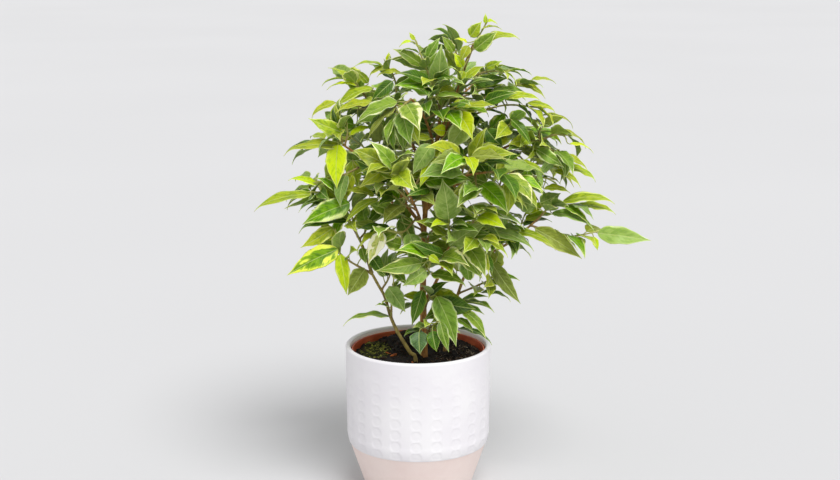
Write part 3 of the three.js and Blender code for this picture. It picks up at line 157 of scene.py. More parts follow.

# Leaves placed one by one: base, tip, width, facing and look of each
CHOSEN_LEAVES = [
    # Top
    ((47, -4, 426), (57, -7, 440), 11, "front", "bright"),
    ((57, -6, 433), (75, -9, 433), 8, "up", "bright"),
    ((61, -4, 440), (71, -5, 437), 5, "tilted", "lime"),
    ((60, -3, 438), (60, -3, 447), 4, "front", "lime"),
    ((51, -8, 415), (71, -14, 432), 14, "front", "edged"),
    ((56, -2, 421), (92, -2, 425), 13, "tilted", "bright"),
    ((45, -4, 418), (38, -6, 404), 9, "front", "bright"),
    ((44, -6, 421), (32, -8, 424), 6, "tilted", "lime"),
    ((40, -4, 399), (32, -6, 412), 9, "front", "lime"),
    ((40, -8, 396), (38, -10, 383), 8, "front", "bright"),
    ((19, -14, 375), (21, -18, 421), 20, "front", "grey"),
    ((3, -6, 401), (-23, -9, 416), 11, "front", "edged"),
    ((-6, -4, 422), (-17, -6, 417), 5, "tilted", "lime"),
    ((-3, -3, 423), (-8, -3, 430), 4, "front", "lime"),
    ((9, 2, 407), (20, 4, 425), 10, "front", "edged"),
    ((32, 7, 411), (21, 9, 426), 9, "front", "edged"),
    # Upper left
    ((-32, 2, 400), (-58, 0, 399), 11, "up", "bright"),
    ((-27, 3, 403), (-26, 3, 412), 5, "front", "lime"),
    ((-28, 0, 398), (-45, -4, 390), 8, "tilted", "bright"),
    ((-15, 0, 393), (-38, -5, 391), 9, "tilted", "bright"),
    ((-23, -4, 386), (-43, -10, 367), 12, "front", "dark"),
    ((-45, 2, 384), (-57, 0, 397), 7, "front", "bright"),
    ((-56, 4, 382), (-83, 2, 379), 10, "up", "lime"),
    ((-41, -2, 380), (-76, -8, 360), 14, "tilted", "bright"),
    ((-74, -14, 368), (-97, -17, 354), 11, "tilted", "bright"),
    ((-64, -20, 366), (-74, -22, 358), 8, "front", "edged"),
    ((-50, -10, 364), (-76, -13, 358), 13, "tilted", "edged"),
    ((-58, -14, 348), (-79, -16, 353), 14, "front", "vivid"),
    ((-28, -20, 364), (-56, -25, 350), 16, "front", "edged"),
    ((-14, -8, 358), (18, -10, 341), 15, "front", "dark"),
    ((-25, -16, 341), (-46, -18, 337), 14, "front", "grey"),
    ((-30, -22, 325), (-54, -22, 326), 15, "front", "dark"),
    # Left
    ((-68, -30, 344), (-97, -34, 357), 13, "front", "bright"),
    ((-68, -28, 331), (-122, -31, 325), 16, "tilted", "bright"),
    ((-71, -36, 333), (-72, -43, 294), 19, "front", "lime"),
    ((-59, -18, 316), (-54, -20, 291), 15, "front", "bright"),
    ((-91, -30, 296), (-117, -30, 301), 10, "tilted", "lime"),
    ((-73, -30, 292), (-92, -30, 304), 11, "tilted", "vivid"),
    ((-96, -34, 288), (-148, -37, 274), 15, "tilted", "bright"),
    ((-61, -36, 281), (-105, -41, 262), 20, "front", "vivid"),
    ((-64, -30, 263), (-110, -33, 254), 15, "tilted", "dark"),
    ((-77, -34, 257), (-106, -39, 240), 13, "front", "bright"),
    ((-72, -40, 239), (-118, -45, 216), 20, "front", "mottled"),
    ((-70, -42, 235), (-64, -47, 197), 13, "front", "lime"),
    ((-48, -30, 219), (-64, -33, 195), 17, "front", "olive"),
    ((-51, -26, 238), (-47, -28, 223), 9, "front", "edged"),
    # Front left
    ((-17, -40, 322), (-53, -47, 296), 20, "front", "bright"),
    ((-39, -40, 288), (-67, -43, 292), 12, "tilted", "bright"),
    ((-35, -46, 286), (-66, -50, 262), 11, "tilted", "bright"),
    ((-31, -58, 258), (-44, -62, 230), 14, "front", "pale"),
    ((3, -60, 231), (-38, -65, 225), 15, "front", "edged"),
    ((7, -56, 224), (-14, -60, 210), 14, "front", "grey"),
    ((-24, -20, 267), (-45, -22, 274), 13, "tilted", "dark"),
    ((-15, -24, 265), (-3, -27, 235), 16, "front", "edged"),
    ((-30, -30, 253), (-62, -32, 261), 13, "tilted", "fresh"),
    ((-15, -40, 243), (-33, -43, 250), 14, "front", "edged"),
    ((-26, -24, 217), (-9, -26, 201), 13, "tilted", "edged"),
    ((-22, -34, 274), (-46, -38, 281), 14, "front", "edged"),
    ((-43, -24, 231), (-29, -27, 211), 12, "front", "dark"),
    ((-16, 4, 303), (-29, 4, 284), 16, "front", "dark"),
    ((-7, 8, 305), (-1, 10, 282), 14, "front", "dark"),
    ((-27, -34, 202), (-11, -40, 180), 16, "front", "grey"),
    ((-26, -27, 173), (-70, -35, 168), 13, "up", "edged"),
    # Front
    ((13, -56, 325), (1, -61, 298), 11, "front", "lime"),
    ((16, -57, 324), (18, -60, 307), 8, "front", "lime"),
    ((12, -50, 336), (-5, -54, 310), 17, "front", "grey"),
    ((11, -44, 340), (-19, -49, 335), 11, "tilted", "bright"),
    ((24, -40, 346), (12, -43, 348), 11, "front", "lime"),
    ((46, -42, 356), (25, -49, 327), 20, "front", "fresh"),
    ((27, -68, 272), (21, -71, 309), 24, "front", "grey"),
    ((28, -53, 245), (62, -59, 268), 18, "front", "fresh"),
    ((22, -58, 238), (-8, -63, 252), 12, "front", "dark"),
    ((10, -63, 239), (20, -65, 232), 7, "front", "lime"),
    ((62, -10, 296), (37, -12, 305), 16, "front", "edged"),
    ((55, -4, 313), (67, -6, 296), 14, "front", "dark"),
    ((46, -20, 331), (65, -22, 315), 15, "front", "edged"),
    ((62, -6, 343), (77, -6, 327), 15, "front", "dark"),
    ((12, -54, 219), (44, -59, 210), 15, "tilted", "edged"),
    ((36, -50, 243), (58, -55, 215), 15, "front", "edged"),
    # Right
    ((52, 2, 384), (82, 4, 388), 12, "front", "dark"),
    ((62, 2, 398), (76, 0, 404), 8, "front", "bright"),
    ((67, 8, 377), (103, 10, 372), 12, "tilted", "edged"),
    ((94, 9, 382), (116, 10, 369), 10, "tilted", "bright"),
    ((60, -12, 368), (89, -17, 377), 12, "front", "dark"),
    ((79, -12, 372), (111, -18, 371), 12, "tilted", "bright"),
    ((99, -2, 366), (126, -2, 358), 10, "tilted", "bright"),
    ((113, -1, 355), (143, 0, 344), 11, "up", "bright"),
    ((83, -28, 354), (101, -35, 330), 11, "tilted", "dark"),
    ((126, 3, 341), (155, 5, 324), 11, "up", "bright"),
    ((138, 2, 329), (160, 2, 321), 10, "up", "lime"),
    ((107, -16, 326), (132, -22, 310), 12, "front", "edged"),
    ((127, -8, 319), (155, -10, 305), 11, "tilted", "bright"),
    ((135, -2, 308), (164, -1, 294), 11, "tilted", "bright"),
    ((89, -32, 316), (113, -35, 306), 11, "tilted", "bright"),
    ((79, -42, 304), (100, -45, 300), 10, "front", "lime"),
    ((124, -12, 306), (148, -15, 291), 10, "tilted", "bright"),
    ((115, -10, 289), (139, -11, 285), 10, "tilted", "bright"),
    ((60, -52, 298), (98, -58, 279), 14, "tilted", "bright"),
    ((43, -60, 279), (96, -63, 262), 18, "tilted", "cream"),
    ((132, -8, 276), (181, -10, 276), 15, "tilted", "bright"),
    ((146, -3, 272), (183, -1, 264), 12, "tilted", "bright"),
    ((122, -14, 267), (163, -17, 251), 13, "tilted", "grey"),
    ((107, -10, 272), (80, -14, 283), 17, "front", "grey"),
    ((112, -6, 275), (131, -4, 284), 14, "front", "grey"),
    ((165, -7, 247), (215, -7, 240), 17, "front", "fresh"),
    ((161, -10, 244), (165, -11, 231), 6, "front", "lime"),
    ((107, -16, 253), (151, -20, 225), 16, "front", "olive"),
    ((81, -32, 254), (125, -37, 238), 13, "tilted", "bright"),
    ((63, -44, 258), (105, -49, 240), 15, "tilted", "grey"),
    ((48, -44, 246), (87, -48, 247), 12, "tilted", "mottled"),
    ((67, -18, 222), (95, -23, 183), 14, "front", "olive"),
    ((68, -14, 232), (61, -18, 214), 14, "front", "olive"),
    ((67, -8, 202), (92, -10, 191), 11, "tilted", "edged"),
    ((59, -5, 190), (87, -8, 183), 11, "up", "edged"),
    # Foot
    ((17, -30, 194), (35, -40, 149), 20, "front", "edged"),
    ((4, -28, 198), (-6, -32, 165), 13, "front", "dark"),
    ((18, -22, 188), (54, -24, 182), 19, "front", "dark"),
    ((40, -34, 181), (62, -40, 155), 12, "tilted", "edged"),
    ((36, -34, 173), (51, -39, 161), 9, "tilted", "edged"),
    ((38, -20, 160), (69, -26, 146), 11, "up", "dark"),
    # This foot leaf is darkened with painted shade from the leaves above it.
    ((1, -46, 164), (2, -55, 145), 17, "front", "deep"),
    ((13, -50, 166), (17, -55, 147), 12, "front", "dark"),
    ((20, -46, 174), (28, -54, 147), 10, "front", "edged"),
]

# Looks of the leaves: colours of the heart, of its darker mottling and of the margin, and the share of the
# half-width that the margin takes
LOOKS = {
    "lime": (0xB7C80C, 0x9EB40A, 0xDCE670, 0.1),
    "fresh": (0x94A850, 0x819840, 0xCCDC8C, 0.1),
    "vivid": (0x729C0A, 0x537E06, 0xD4E28C, 0.17),
    "bright": (0x98A622, 0x778C1A, 0xCCD872, 0.11),
    "mottled": (0x749A14, 0x537C10, 0xD4E250, 0.42),
    "edged": (0x728E2C, 0x59761C, 0xD0DA94, 0.11),
    "cream": (0x859E34, 0x648220, 0xF0F0C4, 0.44),
    "pale": (0xC4C870, 0x9AA844, 0xF0F0C8, 0.7),
    "rimmed": (0x859E34, 0x648220, 0xE4EAAA, 0.2),
    "grey": (0x839A4A, 0x6A8634, 0xBCC888, 0.05),
    "olive": (0x87943C, 0x707C2A, 0xB4BA6C, 0.05),
    "dark": (0x45680E, 0x325208, 0x90A640, 0.06),
    # The leaf's own grey-green, darkened with painted shade from the leaves above it.
    "deep": (0x476238, 0x38522A, 0x90AC78, 0.06),
}

# Shares of the looks among the leaves placed by rule, in the heart of the crown and at its surface
RULE_LOOKS = {
    "inside": {"dark": 0.3, "edged": 0.24, "olive": 0.16, "grey": 0.12, "bright": 0.12, "vivid": 0.06},
    "outside": {"bright": 0.37, "edged": 0.18, "lime": 0.03, "vivid": 0.15, "rimmed": 0.07,
                "grey": 0.13, "dark": 0.07},
}

# Twigs and leaves
TWIG_RADII = (0.9, 0.55)
TWIG_STEPS = 4
TWIG_ARCH = 0.1
FIRST_LEAF_AT = 0.2
LAST_SIDE_LEAF_AT = 0.93
LEAF_SPACING = 0.07
PETIOLE_LENGTH = 9
PETIOLE_RADIUS = 0.55
LEAF_THICKNESS = 0.7
LEAF_SLENDERNESS = 0.49
CHOSEN_BENDS = {"up": 58, "tilted": 52, "front": 34}
CHOSEN_FOLD = 0.22
CHOSEN_SHIFTS = (0, -3, 3, -6, 6, -10, 10)
GUARD = (1.5, 0.8)
TRIES_PER_LEAF = 12
NEAREST_STEPS = 40
FIRST_CHOSEN_STEP = 4
GAP = 0.3
STEM_SIDES = 7
BRANCH_SIDES = 5
TWIG_SIDES = 3
BODY_END, EARLY, FULLNESS, TAPER, TAIL_WIDTH, TAIL_LENGTH = 0.86, 0.82, 0.8, 0.25, 0.11, 0.3
MIDRIB_STEPS = 8
FOOT_LIFT = 0.6
# Where along a blade its middle corners lie, and how far out as shares of its half-width
BLADE_ROWS = ((0.27, (1, 0, -1)), (0.62, (1, -1)))
BEND_ONSET = 1.2
CROWN_AXIS = (15, 0)
OUTWARD_LEAN = 0.6

# Leaves placed by rule: angles in degrees, and spreads that grow with each further try
TURN_AT_FOOT, TURN_AT_TIP, TURN_SPREAD, TURN_LOOSER = 62, 38, 10, 12
STALK_TURN, STALK_RISE, KEEP_OF_RISE, DROP = 0.8, 15, 0.7, 8
RISE_SPREAD, ROLL_SPREAD, LOOSER = 12, 18, 10
TIP_LEAF, TIP_LEAF_ONSET, FULL_LEAF = 0.66, 3, 42
FOLD_SPREAD, BEND_SPREAD = (0.18, 0.38), (24, 56)
LENGTH_SPREAD, WIDTH_SPREAD = (0.9, 1.1), (0.92, 1.08)
TRY_LOOSENESS = 0.5

# Where the seeds of the draws start, and the constants of the draws themselves
PLACING_SEEDS, LOOK_SEEDS, MORE_SEEDS, INNER_SEEDS, INNER_LOOK_SEEDS = 1000, 2000, 3000, 4000, 5000
CRUMB_SEED, MOSS_SEED, CHIP_SEED, ROOT_SEED = 501, 502, 503, 504
WORD, STRIDE, SCRAMBLE = 0xFFFFFFFF, 0x6D2B79F5, 61

# What counts as nearly upright, for a way and for a whole tube, and as parallel
NEARLY_UPRIGHT, UPRIGHT_TUBE, PARALLEL = 0.9, 0.8, 1e-12


def seeded_draw(seed):
    """A function that draws numbers from 0 to 1."""
    state = seed

    def draw():
        nonlocal state
        state = (state + STRIDE) & WORD
        mixed = ((state ^ (state >> 15)) * (state | 1)) & WORD
        mixed ^= (mixed + (mixed ^ (mixed >> 7)) * (mixed | SCRAMBLE)) & WORD
        return (mixed ^ (mixed >> 14)) / 2**32

    return draw


def mix(a, b, share):
    return a + (b - a) * share


def unit(v):
    return v / np.linalg.norm(v)


def direction(heading, rise):
    """Unit vector from a heading round Z and a rise above the horizontal, both in degrees."""
    h, r = math.radians(heading), math.radians(rise)
    return np.array([math.cos(r) * math.cos(h), math.cos(r) * math.sin(h), math.sin(r)])


def across_from(way):
    """An axis that lies well across a direction: Z, or X where the direction is nearly upright."""
    return (0, 0, 1.0) if abs(way[2]) < NEARLY_UPRIGHT else (1.0, 0, 0)


def curve_points(route, steps):
    """A Catmull-Rom curve through the route's points, cut into steps."""
    p = np.array(route, float)
    p = np.vstack([2 * p[0] - p[1], p, 2 * p[-1] - p[-2]])
    spans = len(route) - 1
    points = []
    for i in range(steps + 1):
        place = spans * i / steps
        k = min(int(place), spans - 1)
        t = place - k
        a, b = p[k + 1], p[k + 2]
        ta, tb = 0.5 * (b - p[k]), 0.5 * (p[k + 3] - a)
        points.append(a + ta * t + (3 * (b - a) - 2 * ta - tb) * t**2 + (2 * (a - b) + ta + tb) * t**3)
    return np.array(points)


def limbs():
    """Every stem and branch: its radii, its route, its sides and its steps for each span of the route."""
    found = {}
    for name, stem in STEMS.items():
        found[name] = (stem["radii"], stem["route"], STEM_SIDES, 2)
        for branch, (radii, route) in stem["branches"].items():
            found[branch] = (radii, route, BRANCH_SIDES, 1)
    return found


LIMBS = limbs()


def wood_points(name):
    _, route, _, steps = LIMBS[name]
    return curve_points(route, steps * (len(route) - 1))


def point_along(points, share):
    """The point at a share of the points' count, and the way forward there."""
    place = share * (len(points) - 1)
    i = min(int(place), len(points) - 2)
    forward = unit(points[i + 1] - points[i])
    return mix(points[i], points[i + 1], place - i), forward


def twig_start(branch, at, target):
    """Where a twig starts: just off the side of its branch, or off the branch's end."""
    radii = LIMBS[branch][0]
    point, forward = point_along(wood_points(branch), at)
    reach = TWIG_RADII[0]
    way = unit(target - point)
    cosine = float(way @ forward)
    sine = math.sqrt(1 - cosine * cosine)
    from_side = (mix(radii[0], radii[1], at) + GAP + reach * abs(cosine)) / sine
    if at == 1 and cosine > 0:
        return point + way * min(from_side, (GAP + reach * sine) / cosine)
    return point + way * from_side


def twig_route(branch, at, to):
    """The points that a twig's curve runs through. With a single point, it arches on the way there."""
    route = [np.array(p, float) for p in to]
    start = twig_start(branch, at, route[0])
    if len(route) == 1:
        middle = mix(start, route[0], 0.5)
        middle[2] += TWIG_ARCH * np.linalg.norm(start - route[0])
        route.insert(0, middle)
    return [start, *route]


# Leaves of the solid model, which the fine leaves follow

def outline(t):
    """Half-width of a leaf as a share of its greatest, from the stalk at 0 to the tip at 1."""
    body = math.sin(math.pi * min(t / BODY_END, 1) ** EARLY) ** FULLNESS if t < BODY_END else 0
    tail = TAIL_WIDTH * min(1, (1 - t) / TAIL_LENGTH, t / TAIL_LENGTH)
    return max(body * (1 - TAPER * t), tail)


def midrib(leaf, t):
    """Where the midrib is at t, and which way is up there: the blade bends down along its length."""
    point = leaf["base"].copy()
    step = leaf["length"] * t / MIDRIB_STEPS
    for i in range(MIDRIB_STEPS):
        bend = math.radians(leaf["bend"]) * (t * (i + 0.5) / MIDRIB_STEPS) ** BEND_ONSET
        point += leaf["axis"] * math.cos(bend) * step
        point -= leaf["normal"] * math.sin(bend) * step
    bend = math.radians(leaf["bend"]) * t**BEND_ONSET
    return point, leaf["normal"] * math.cos(bend) + leaf["axis"] * math.sin(bend)


def blade_corners(leaf, thickness, growth):
    """The corners of a blade: three at the stalk, six across its fold, four further on and its tip."""
    left = np.cross(leaf["normal"], leaf["axis"])
    radius = PETIOLE_RADIUS + growth
    point, up = midrib(leaf, 0)
    corners = [point + left * radius + up * FOOT_LIFT * radius,
               point - left * radius + up * FOOT_LIFT * radius, point - up * radius]
    for t, row in BLADE_ROWS:
        point, up = midrib(leaf, t)
        half = leaf["width"] / 2 * outline(t) + growth
        for lift in (thickness / 2, -thickness / 2):
            corners += [point + left * s * half + up * (abs(s) * half * leaf["fold"] + lift) for s in row]
    corners.append(midrib(leaf, 1)[0] + leaf["axis"] * growth)
    return np.array(corners)


def strip(a, b):
    """Triangles between two rows of corners, from left to right."""
    triangles, i, j = [], 0, 0
    while i < len(a) - 1 or j < len(b) - 1:
        next_a = (i + 1) / (len(a) - 1) if i < len(a) - 1 else math.inf
        next_b = (j + 1) / (len(b) - 1) if j < len(b) - 1 else math.inf
        if next_a < next_b or (next_a == next_b and len(a) <= len(b)):
            triangles.append((a[i], a[i + 1], b[j]))
            i += 1
        else:
            triangles.append((a[i], b[j + 1], b[j]))
            j += 1
    return triangles


def blade_triangles():
    """The triangles between a blade's corners."""
    rings = [([0, 1], [2]), ([3, 4, 5], [6, 7, 8]), ([9, 10], [11, 12]), ([13], [13])]
    triangles = []
    for (top_a, low_a), (top_b, low_b) in zip(rings, rings[1:]):
        triangles += strip(top_a, top_b)
        triangles += [(p, r, q) for p, q, r in strip(low_a, low_b)]
        triangles += [(top_a[0], top_b[0], low_b[0]), (top_a[0], low_b[0], low_a[0])]
        triangles += [(top_a[-1], low_b[-1], top_b[-1]), (top_a[-1], low_a[-1], low_b[-1])]
    triangles += [(p, r, q) for p, q, r in strip([0, 1], [2])]
    return np.array([t for t in triangles if len(set(t)) == 3])


BLADE_FACES = blade_triangles()


def tube_corners(points, radii, sides):
    """The corners of a tapering tube, ring by ring, and the triangles between them."""
    points = np.asarray(points)
    last = len(points) - 1
    along = points[last] - points[0]
    upright = abs(along[2]) > UPRIGHT_TUBE * np.linalg.norm(along)
    reference = np.array([1.0, 0, 0]) if upright else np.array([0, 0, 1.0])
    corners = []
    for i, point in enumerate(points):
        tangent = unit(points[min(i + 1, last)] - points[max(i - 1, 0)])
        side = unit(np.cross(tangent, reference))
        up = np.cross(side, tangent)
        radius = mix(radii[0], radii[1], i / last)
        for k in range(sides):
            angle = 2 * math.pi * k / sides
            corners.append(point + side * radius * math.cos(angle) + up * radius * math.sin(angle))
    triangles = []
    for i in range(last):
        for k in range(sides):
            a, b = i * sides + k, i * sides + (k + 1) % sides
            triangles += [(a, a + sides, b + sides), (a, b + sides, b)]
    for k in range(1, sides - 1):
        triangles += [(0, k, k + 1), (last * sides, last * sides + k + 1, last * sides + k)]
    return np.array(corners), np.array(triangles)


def obstacle(corners, triangles, owner=""):
    """A mesh with its edges and its box, for the tests of what crosses what."""
    pairs = triangles[:, [0, 1, 1, 2, 2, 0]].reshape(-1, 2)
    pairs = pairs[pairs[:, 0] < pairs[:, 1]]
    return {"edges": corners[pairs], "faces": corners[triangles], "low": corners.min(0),
            "high": corners.max(0), "owner": owner}


def cross(a, b):
    return np.stack([a[..., 1] * b[..., 2] - a[..., 2] * b[..., 1],
                     a[..., 2] * b[..., 0] - a[..., 0] * b[..., 2],
                     a[..., 0] * b[..., 1] - a[..., 1] * b[..., 0]], -1)


def pierces(edges, faces):
    """Whether any of the edges meets any of the faces."""
    start, along = edges[:, None, 0], edges[:, None, 1] - edges[:, None, 0]
    a = faces[None, :, 0]
    ab, ac = faces[None, :, 1] - a, faces[None, :, 2] - a
    h = cross(along, ac)
    det = (ab * h).sum(-1)
    safe = np.where(np.abs(det) < PARALLEL, np.inf, det)
    s = start - a
    u = (s * h).sum(-1) / safe
    q = cross(s, ab)
    v = (along * q).sum(-1) / safe
    t = (ac * q).sum(-1) / safe
    inside = (u >= 0) & (u <= 1) & (v >= 0) & (u + v <= 1) & (t >= 0) & (t <= 1)
    return bool((inside & (np.abs(det) >= PARALLEL)).any())


def within(shapes, one):
    """Those of many edges or faces whose boxes meet the box of a piece."""
    return shapes[((shapes.min(1) <= one["high"]) & (shapes.max(1) >= one["low"])).all(1)]


class Room:
    """The wood and leaves placed so far, and whether another piece would cross any of them."""

    def __init__(self):
        self.things, self.lows, self.highs = [], np.zeros((0, 3)), np.zeros((0, 3))

    def put(self, thing):
        self.things.append(thing)
        self.lows = np.vstack([self.lows, thing["low"]])
        self.highs = np.vstack([self.highs, thing["high"]])

    def crosses(self, one, besides=None):
        """Whether a piece crosses anything here, apart from what belongs to one owner."""
        meet = ((self.lows <= one["high"]) & (self.highs >= one["low"])).all(1)
        near = [self.things[i] for i in np.flatnonzero(meet) if self.things[i]["owner"] != besides]
        if not near:
            return False
        faces = within(np.concatenate([o["faces"] for o in near]), one)
        edges = within(np.concatenate([o["edges"] for o in near]), one)
        return pierces(one["edges"], faces) or pierces(edges, one["faces"])


def drawn_leaf(twig, share, side, longest, looseness, draw):
    """A leaf drawn by rule: leaves leave the twig on either side in turn, and face up and outwards."""
    root, forward = point_along(twig, share)

    def jitter(spread, looser):
        return (draw() * 2 - 1) * (spread + looser * looseness)

    heading = math.degrees(math.atan2(forward[1], forward[0]))
    rise = math.degrees(math.asin(forward[2]))
    turn = side * mix(TURN_AT_FOOT, TURN_AT_TIP, share)
    leaf_heading = heading + turn + jitter(TURN_SPREAD, TURN_LOOSER)
    leaf_rise = KEEP_OF_RISE * rise - DROP + jitter(RISE_SPREAD, LOOSER)
    petiole = direction(mix(heading, leaf_heading, STALK_TURN), leaf_rise + STALK_RISE)
    axis = direction(leaf_heading, leaf_rise)
    outward = unit(np.array([root[0] - CROWN_AXIS[0], root[1] - CROWN_AXIS[1], 0.0]))
    lean = outward * OUTWARD_LEAN + np.array([0, 0, 1.0])
    level = unit(lean - axis * (lean @ axis))
    roll = math.radians(jitter(ROLL_SPREAD, LOOSER))
    normal = level * math.cos(roll) + np.cross(axis, level) * math.sin(roll)
    towards_tip = mix(1, TIP_LEAF, share**TIP_LEAF_ONSET)
    length = longest * towards_tip * mix(*LENGTH_SPREAD, draw())
    return {
        "share": share,
        "root": root,
        "base": root + petiole * PETIOLE_LENGTH * (length / FULL_LEAF),
        "axis": axis,
        "normal": normal,
        "length": length,
        "width": length * LEAF_SLENDERNESS * mix(*WIDTH_SPREAD, draw()),
        "fold": mix(*FOLD_SPREAD, draw()),
        "bend": mix(*BEND_SPREAD, draw()),
        "look": None,
    }


def blade_between(base, tip, width, face):
    """A leaf between two chosen points. Its axis is turned up, so that the bent blade ends at its tip."""
    bend = CHOSEN_BENDS[face]
    flat = {"base": np.zeros(3), "axis": np.array([1.0, 0, 0]), "normal": np.array([0, 0, 1.0]),
            "length": 1, "bend": bend}
    sag = midrib(flat, 1)[0]
    turn = math.atan2(-sag[2], sag[0])
    chord = tip - base
    straight = unit(chord)
    facing = direction(*FACES[face])
    level = unit(facing - straight * (facing @ straight))
    return {
        "base": base,
        "axis": straight * math.cos(turn) + level * math.sin(turn),
        "normal": level * math.cos(turn) - straight * math.sin(turn),
        "length": np.linalg.norm(chord) / math.hypot(sag[0], sag[2]),
        "width": width,
        "fold": CHOSEN_FOLD,
        "bend": bend,
    }


def places_on(twigs):
    """Evenly spaced places on every twig, for the search of the one nearest to a point."""
    steps = range(FIRST_CHOSEN_STEP, NEAREST_STEPS + 1)
    return np.array([[point_along(twig, i / NEAREST_STEPS)[0] for i in steps] for twig in twigs])


def nearest_twig(places, target):
    """The shoot and the place on its twig nearest to a point."""
    nearest = np.linalg.norm(places - target, axis=2).argmin()
    shoot, step = divmod(int(nearest), places.shape[1])
    return shoot, (step + FIRST_CHOSEN_STEP) / NEAREST_STEPS


def spread(leaves):
    """Spreads the leaves of a shoot along its twig, so that no two leave it at the same place."""
    leaves.sort(key=lambda leaf: leaf["share"])
    for before, leaf in zip(leaves, leaves[1:]):
        leaf["share"] = max(leaf["share"], before["share"] + LEAF_SPACING)
    limit = 1
    for leaf in reversed(leaves):
        leaf["share"] = min(leaf["share"], limit)
        if leaf["share"] > LAST_SIDE_LEAF_AT:
            leaf["share"] = 1
        limit = leaf["share"] - LEAF_SPACING


def blade_of(leaf, thickness, growth):
    return obstacle(blade_corners(leaf, thickness, growth), BLADE_FACES)


def stalk_of(leaf, growth, owner=""):
    radius = PETIOLE_RADIUS + growth
    return obstacle(*tube_corners([leaf["root"], leaf["base"]], (radius, radius), TWIG_SIDES), owner)


def placed(room, leaves, shoot, leaf, guard):
    """Adds a leaf if it has room: its blade clear of everything, and its stalk clear of other shoots."""
    thickness, growth = guard
    if room.crosses(blade_of(leaf, thickness, growth)) or room.crosses(stalk_of(leaf, growth / 2), shoot):
        return False
    leaves.append(leaf)
    room.put(blade_of(leaf, LEAF_THICKNESS, 0))
    room.put(stalk_of(leaf, 0, shoot))
    return True


def place_chosen(room, twigs, crown):
    chosen = [[] for _ in twigs]
    places = places_on(twigs)
    for base, tip, width, face, look in CHOSEN_LEAVES:
        base, tip = np.array(base, float), np.array(tip, float)
        shoot, share = nearest_twig(places, base)
        chosen[shoot].append({"share": share, "base": base, "tip": tip, "width": width, "face": face,
                              "look": look})
    for leaves in chosen:
        spread(leaves)
    for shoot, leaves in enumerate(chosen):
        for leaf in leaves:
            root = point_along(twigs[shoot], leaf["share"])[0]
            for shift in CHOSEN_SHIFTS:
                away = np.array([0, shift, 0])
                blade = blade_between(leaf["base"] + away, leaf["tip"] + away, leaf["width"], leaf["face"])
                whole = {**blade, "share": leaf["share"], "root": root, "look": leaf["look"]}
                if placed(room, crown[shoot], shoot, whole, GUARD):
                    break


def place_drawn(room, twig, leaves, shoot, count, longest, draw, guard=GUARD, spacing=LEAF_SPACING):
    """Places leaves by rule along a twig, trying looser draws where one would cross something."""
    for order in range(count):
        share = mix(FIRST_LEAF_AT, 1, order / (count - 1))
        side = 0 if order == count - 1 else (1 if order % 2 else -1)
        if any(abs(leaf["share"] - share) < spacing for leaf in leaves):
            continue
        for attempt in range(TRIES_PER_LEAF):
            leaf = drawn_leaf(twig, share, side, longest, attempt * TRY_LOOSENESS, draw)
            if placed(room, leaves, shoot, leaf, guard):
                break


def stalk(foot, blade):
    """The length of a stalk from the foot of one leaf's stalk to the blade of another, or of the same."""
    return np.linalg.norm(foot["root"] - blade["base"])


def uncross(leaves):
    """Neighbouring leaves trade places on the twig wherever that makes their stalks shorter in all."""
    for i in range(len(leaves) - 1):
        one, after = leaves[i], leaves[i + 1]
        if stalk(one, after) + stalk(after, one) < stalk(one, one) + stalk(after, after):
            for key in ("root", "share"):
                one[key], after[key] = after[key], one[key]
            leaves[i], leaves[i + 1] = after, one


def grow_crown():
    """Places every leaf where it crosses nothing placed before, as the solid model does."""
    twigs = [curve_points(twig_route(branch, at, to), TWIG_STEPS)
             for branch, at, to, _, _ in SHOOTS.values()]
    room = Room()
    for name, (radii, _, sides, _) in LIMBS.items():
        room.put(obstacle(*tube_corners(wood_points(name), radii, sides), name))
    for i, twig in enumerate(twigs):
        room.put(obstacle(*tube_corners(twig, TWIG_RADII, TWIG_SIDES), i))
    crown = [[] for _ in twigs]
    place_chosen(room, twigs, crown)
    for shoot, (_, _, _, count, longest) in enumerate(SHOOTS.values()):
        draw = seeded_draw(PLACING_SEEDS + shoot)
        place_drawn(room, twigs[shoot], crown[shoot], shoot, count, longest, draw)
    for leaves in crown:
        leaves.sort(key=lambda leaf: leaf["share"])
        uncross(leaves)
    return room, twigs, crown


# Leaves beyond the solid model's: more on each of its shoots, and short inner twigs along the branches,
# which close the gaps in the heart of the crown
MORE_GUARD, MORE_SPACING = (0.9, 0.25), 0.045
MORE_LEAVES, MORE_LENGTH = 8, 0.88
INNER_FROM, INNER_SPACING, INNER_TURN = 0.22, 22, 137.5
INNER_REACH, INNER_FORWARD, INNER_UP, INNER_ARCH = (13, 26), 0.45, 0.3, 0.4
INNER_LEAVES, INNER_LONGEST, INNER_TRIES = 6, (26, 36), 8
INNER_LOWEST, INNER_RETRY_TURN, INNER_TURN_SPREAD = 196, 45, 40


def inner_route(limb, at, turn, reach):
    """The route of a short twig that leaves a branch to one side, then forwards and up."""
    point, forward = point_along(wood_points(limb), at)
    side = unit(np.cross(forward, across_from(forward)))
    outward = side * math.cos(turn) + np.cross(side, forward) * math.sin(turn)
    way = unit(outward + forward * INNER_FORWARD + np.array([0, 0, INNER_UP]))
    start = twig_start(limb, at, point + way * reach)
    middle = start + unit(way + outward * INNER_ARCH) * reach * 0.5
    return [start, middle, start + way * reach]


def place_more(room, twig, leaves, owner, count, longest, draw):
    """Places leaves that the solid model doesn't have, and marks them as added."""
    before = len(leaves)
    place_drawn(room, twig, leaves, owner, count, longest, draw, MORE_GUARD, MORE_SPACING)
    for leaf in leaves[before:]:
        leaf["added"] = True


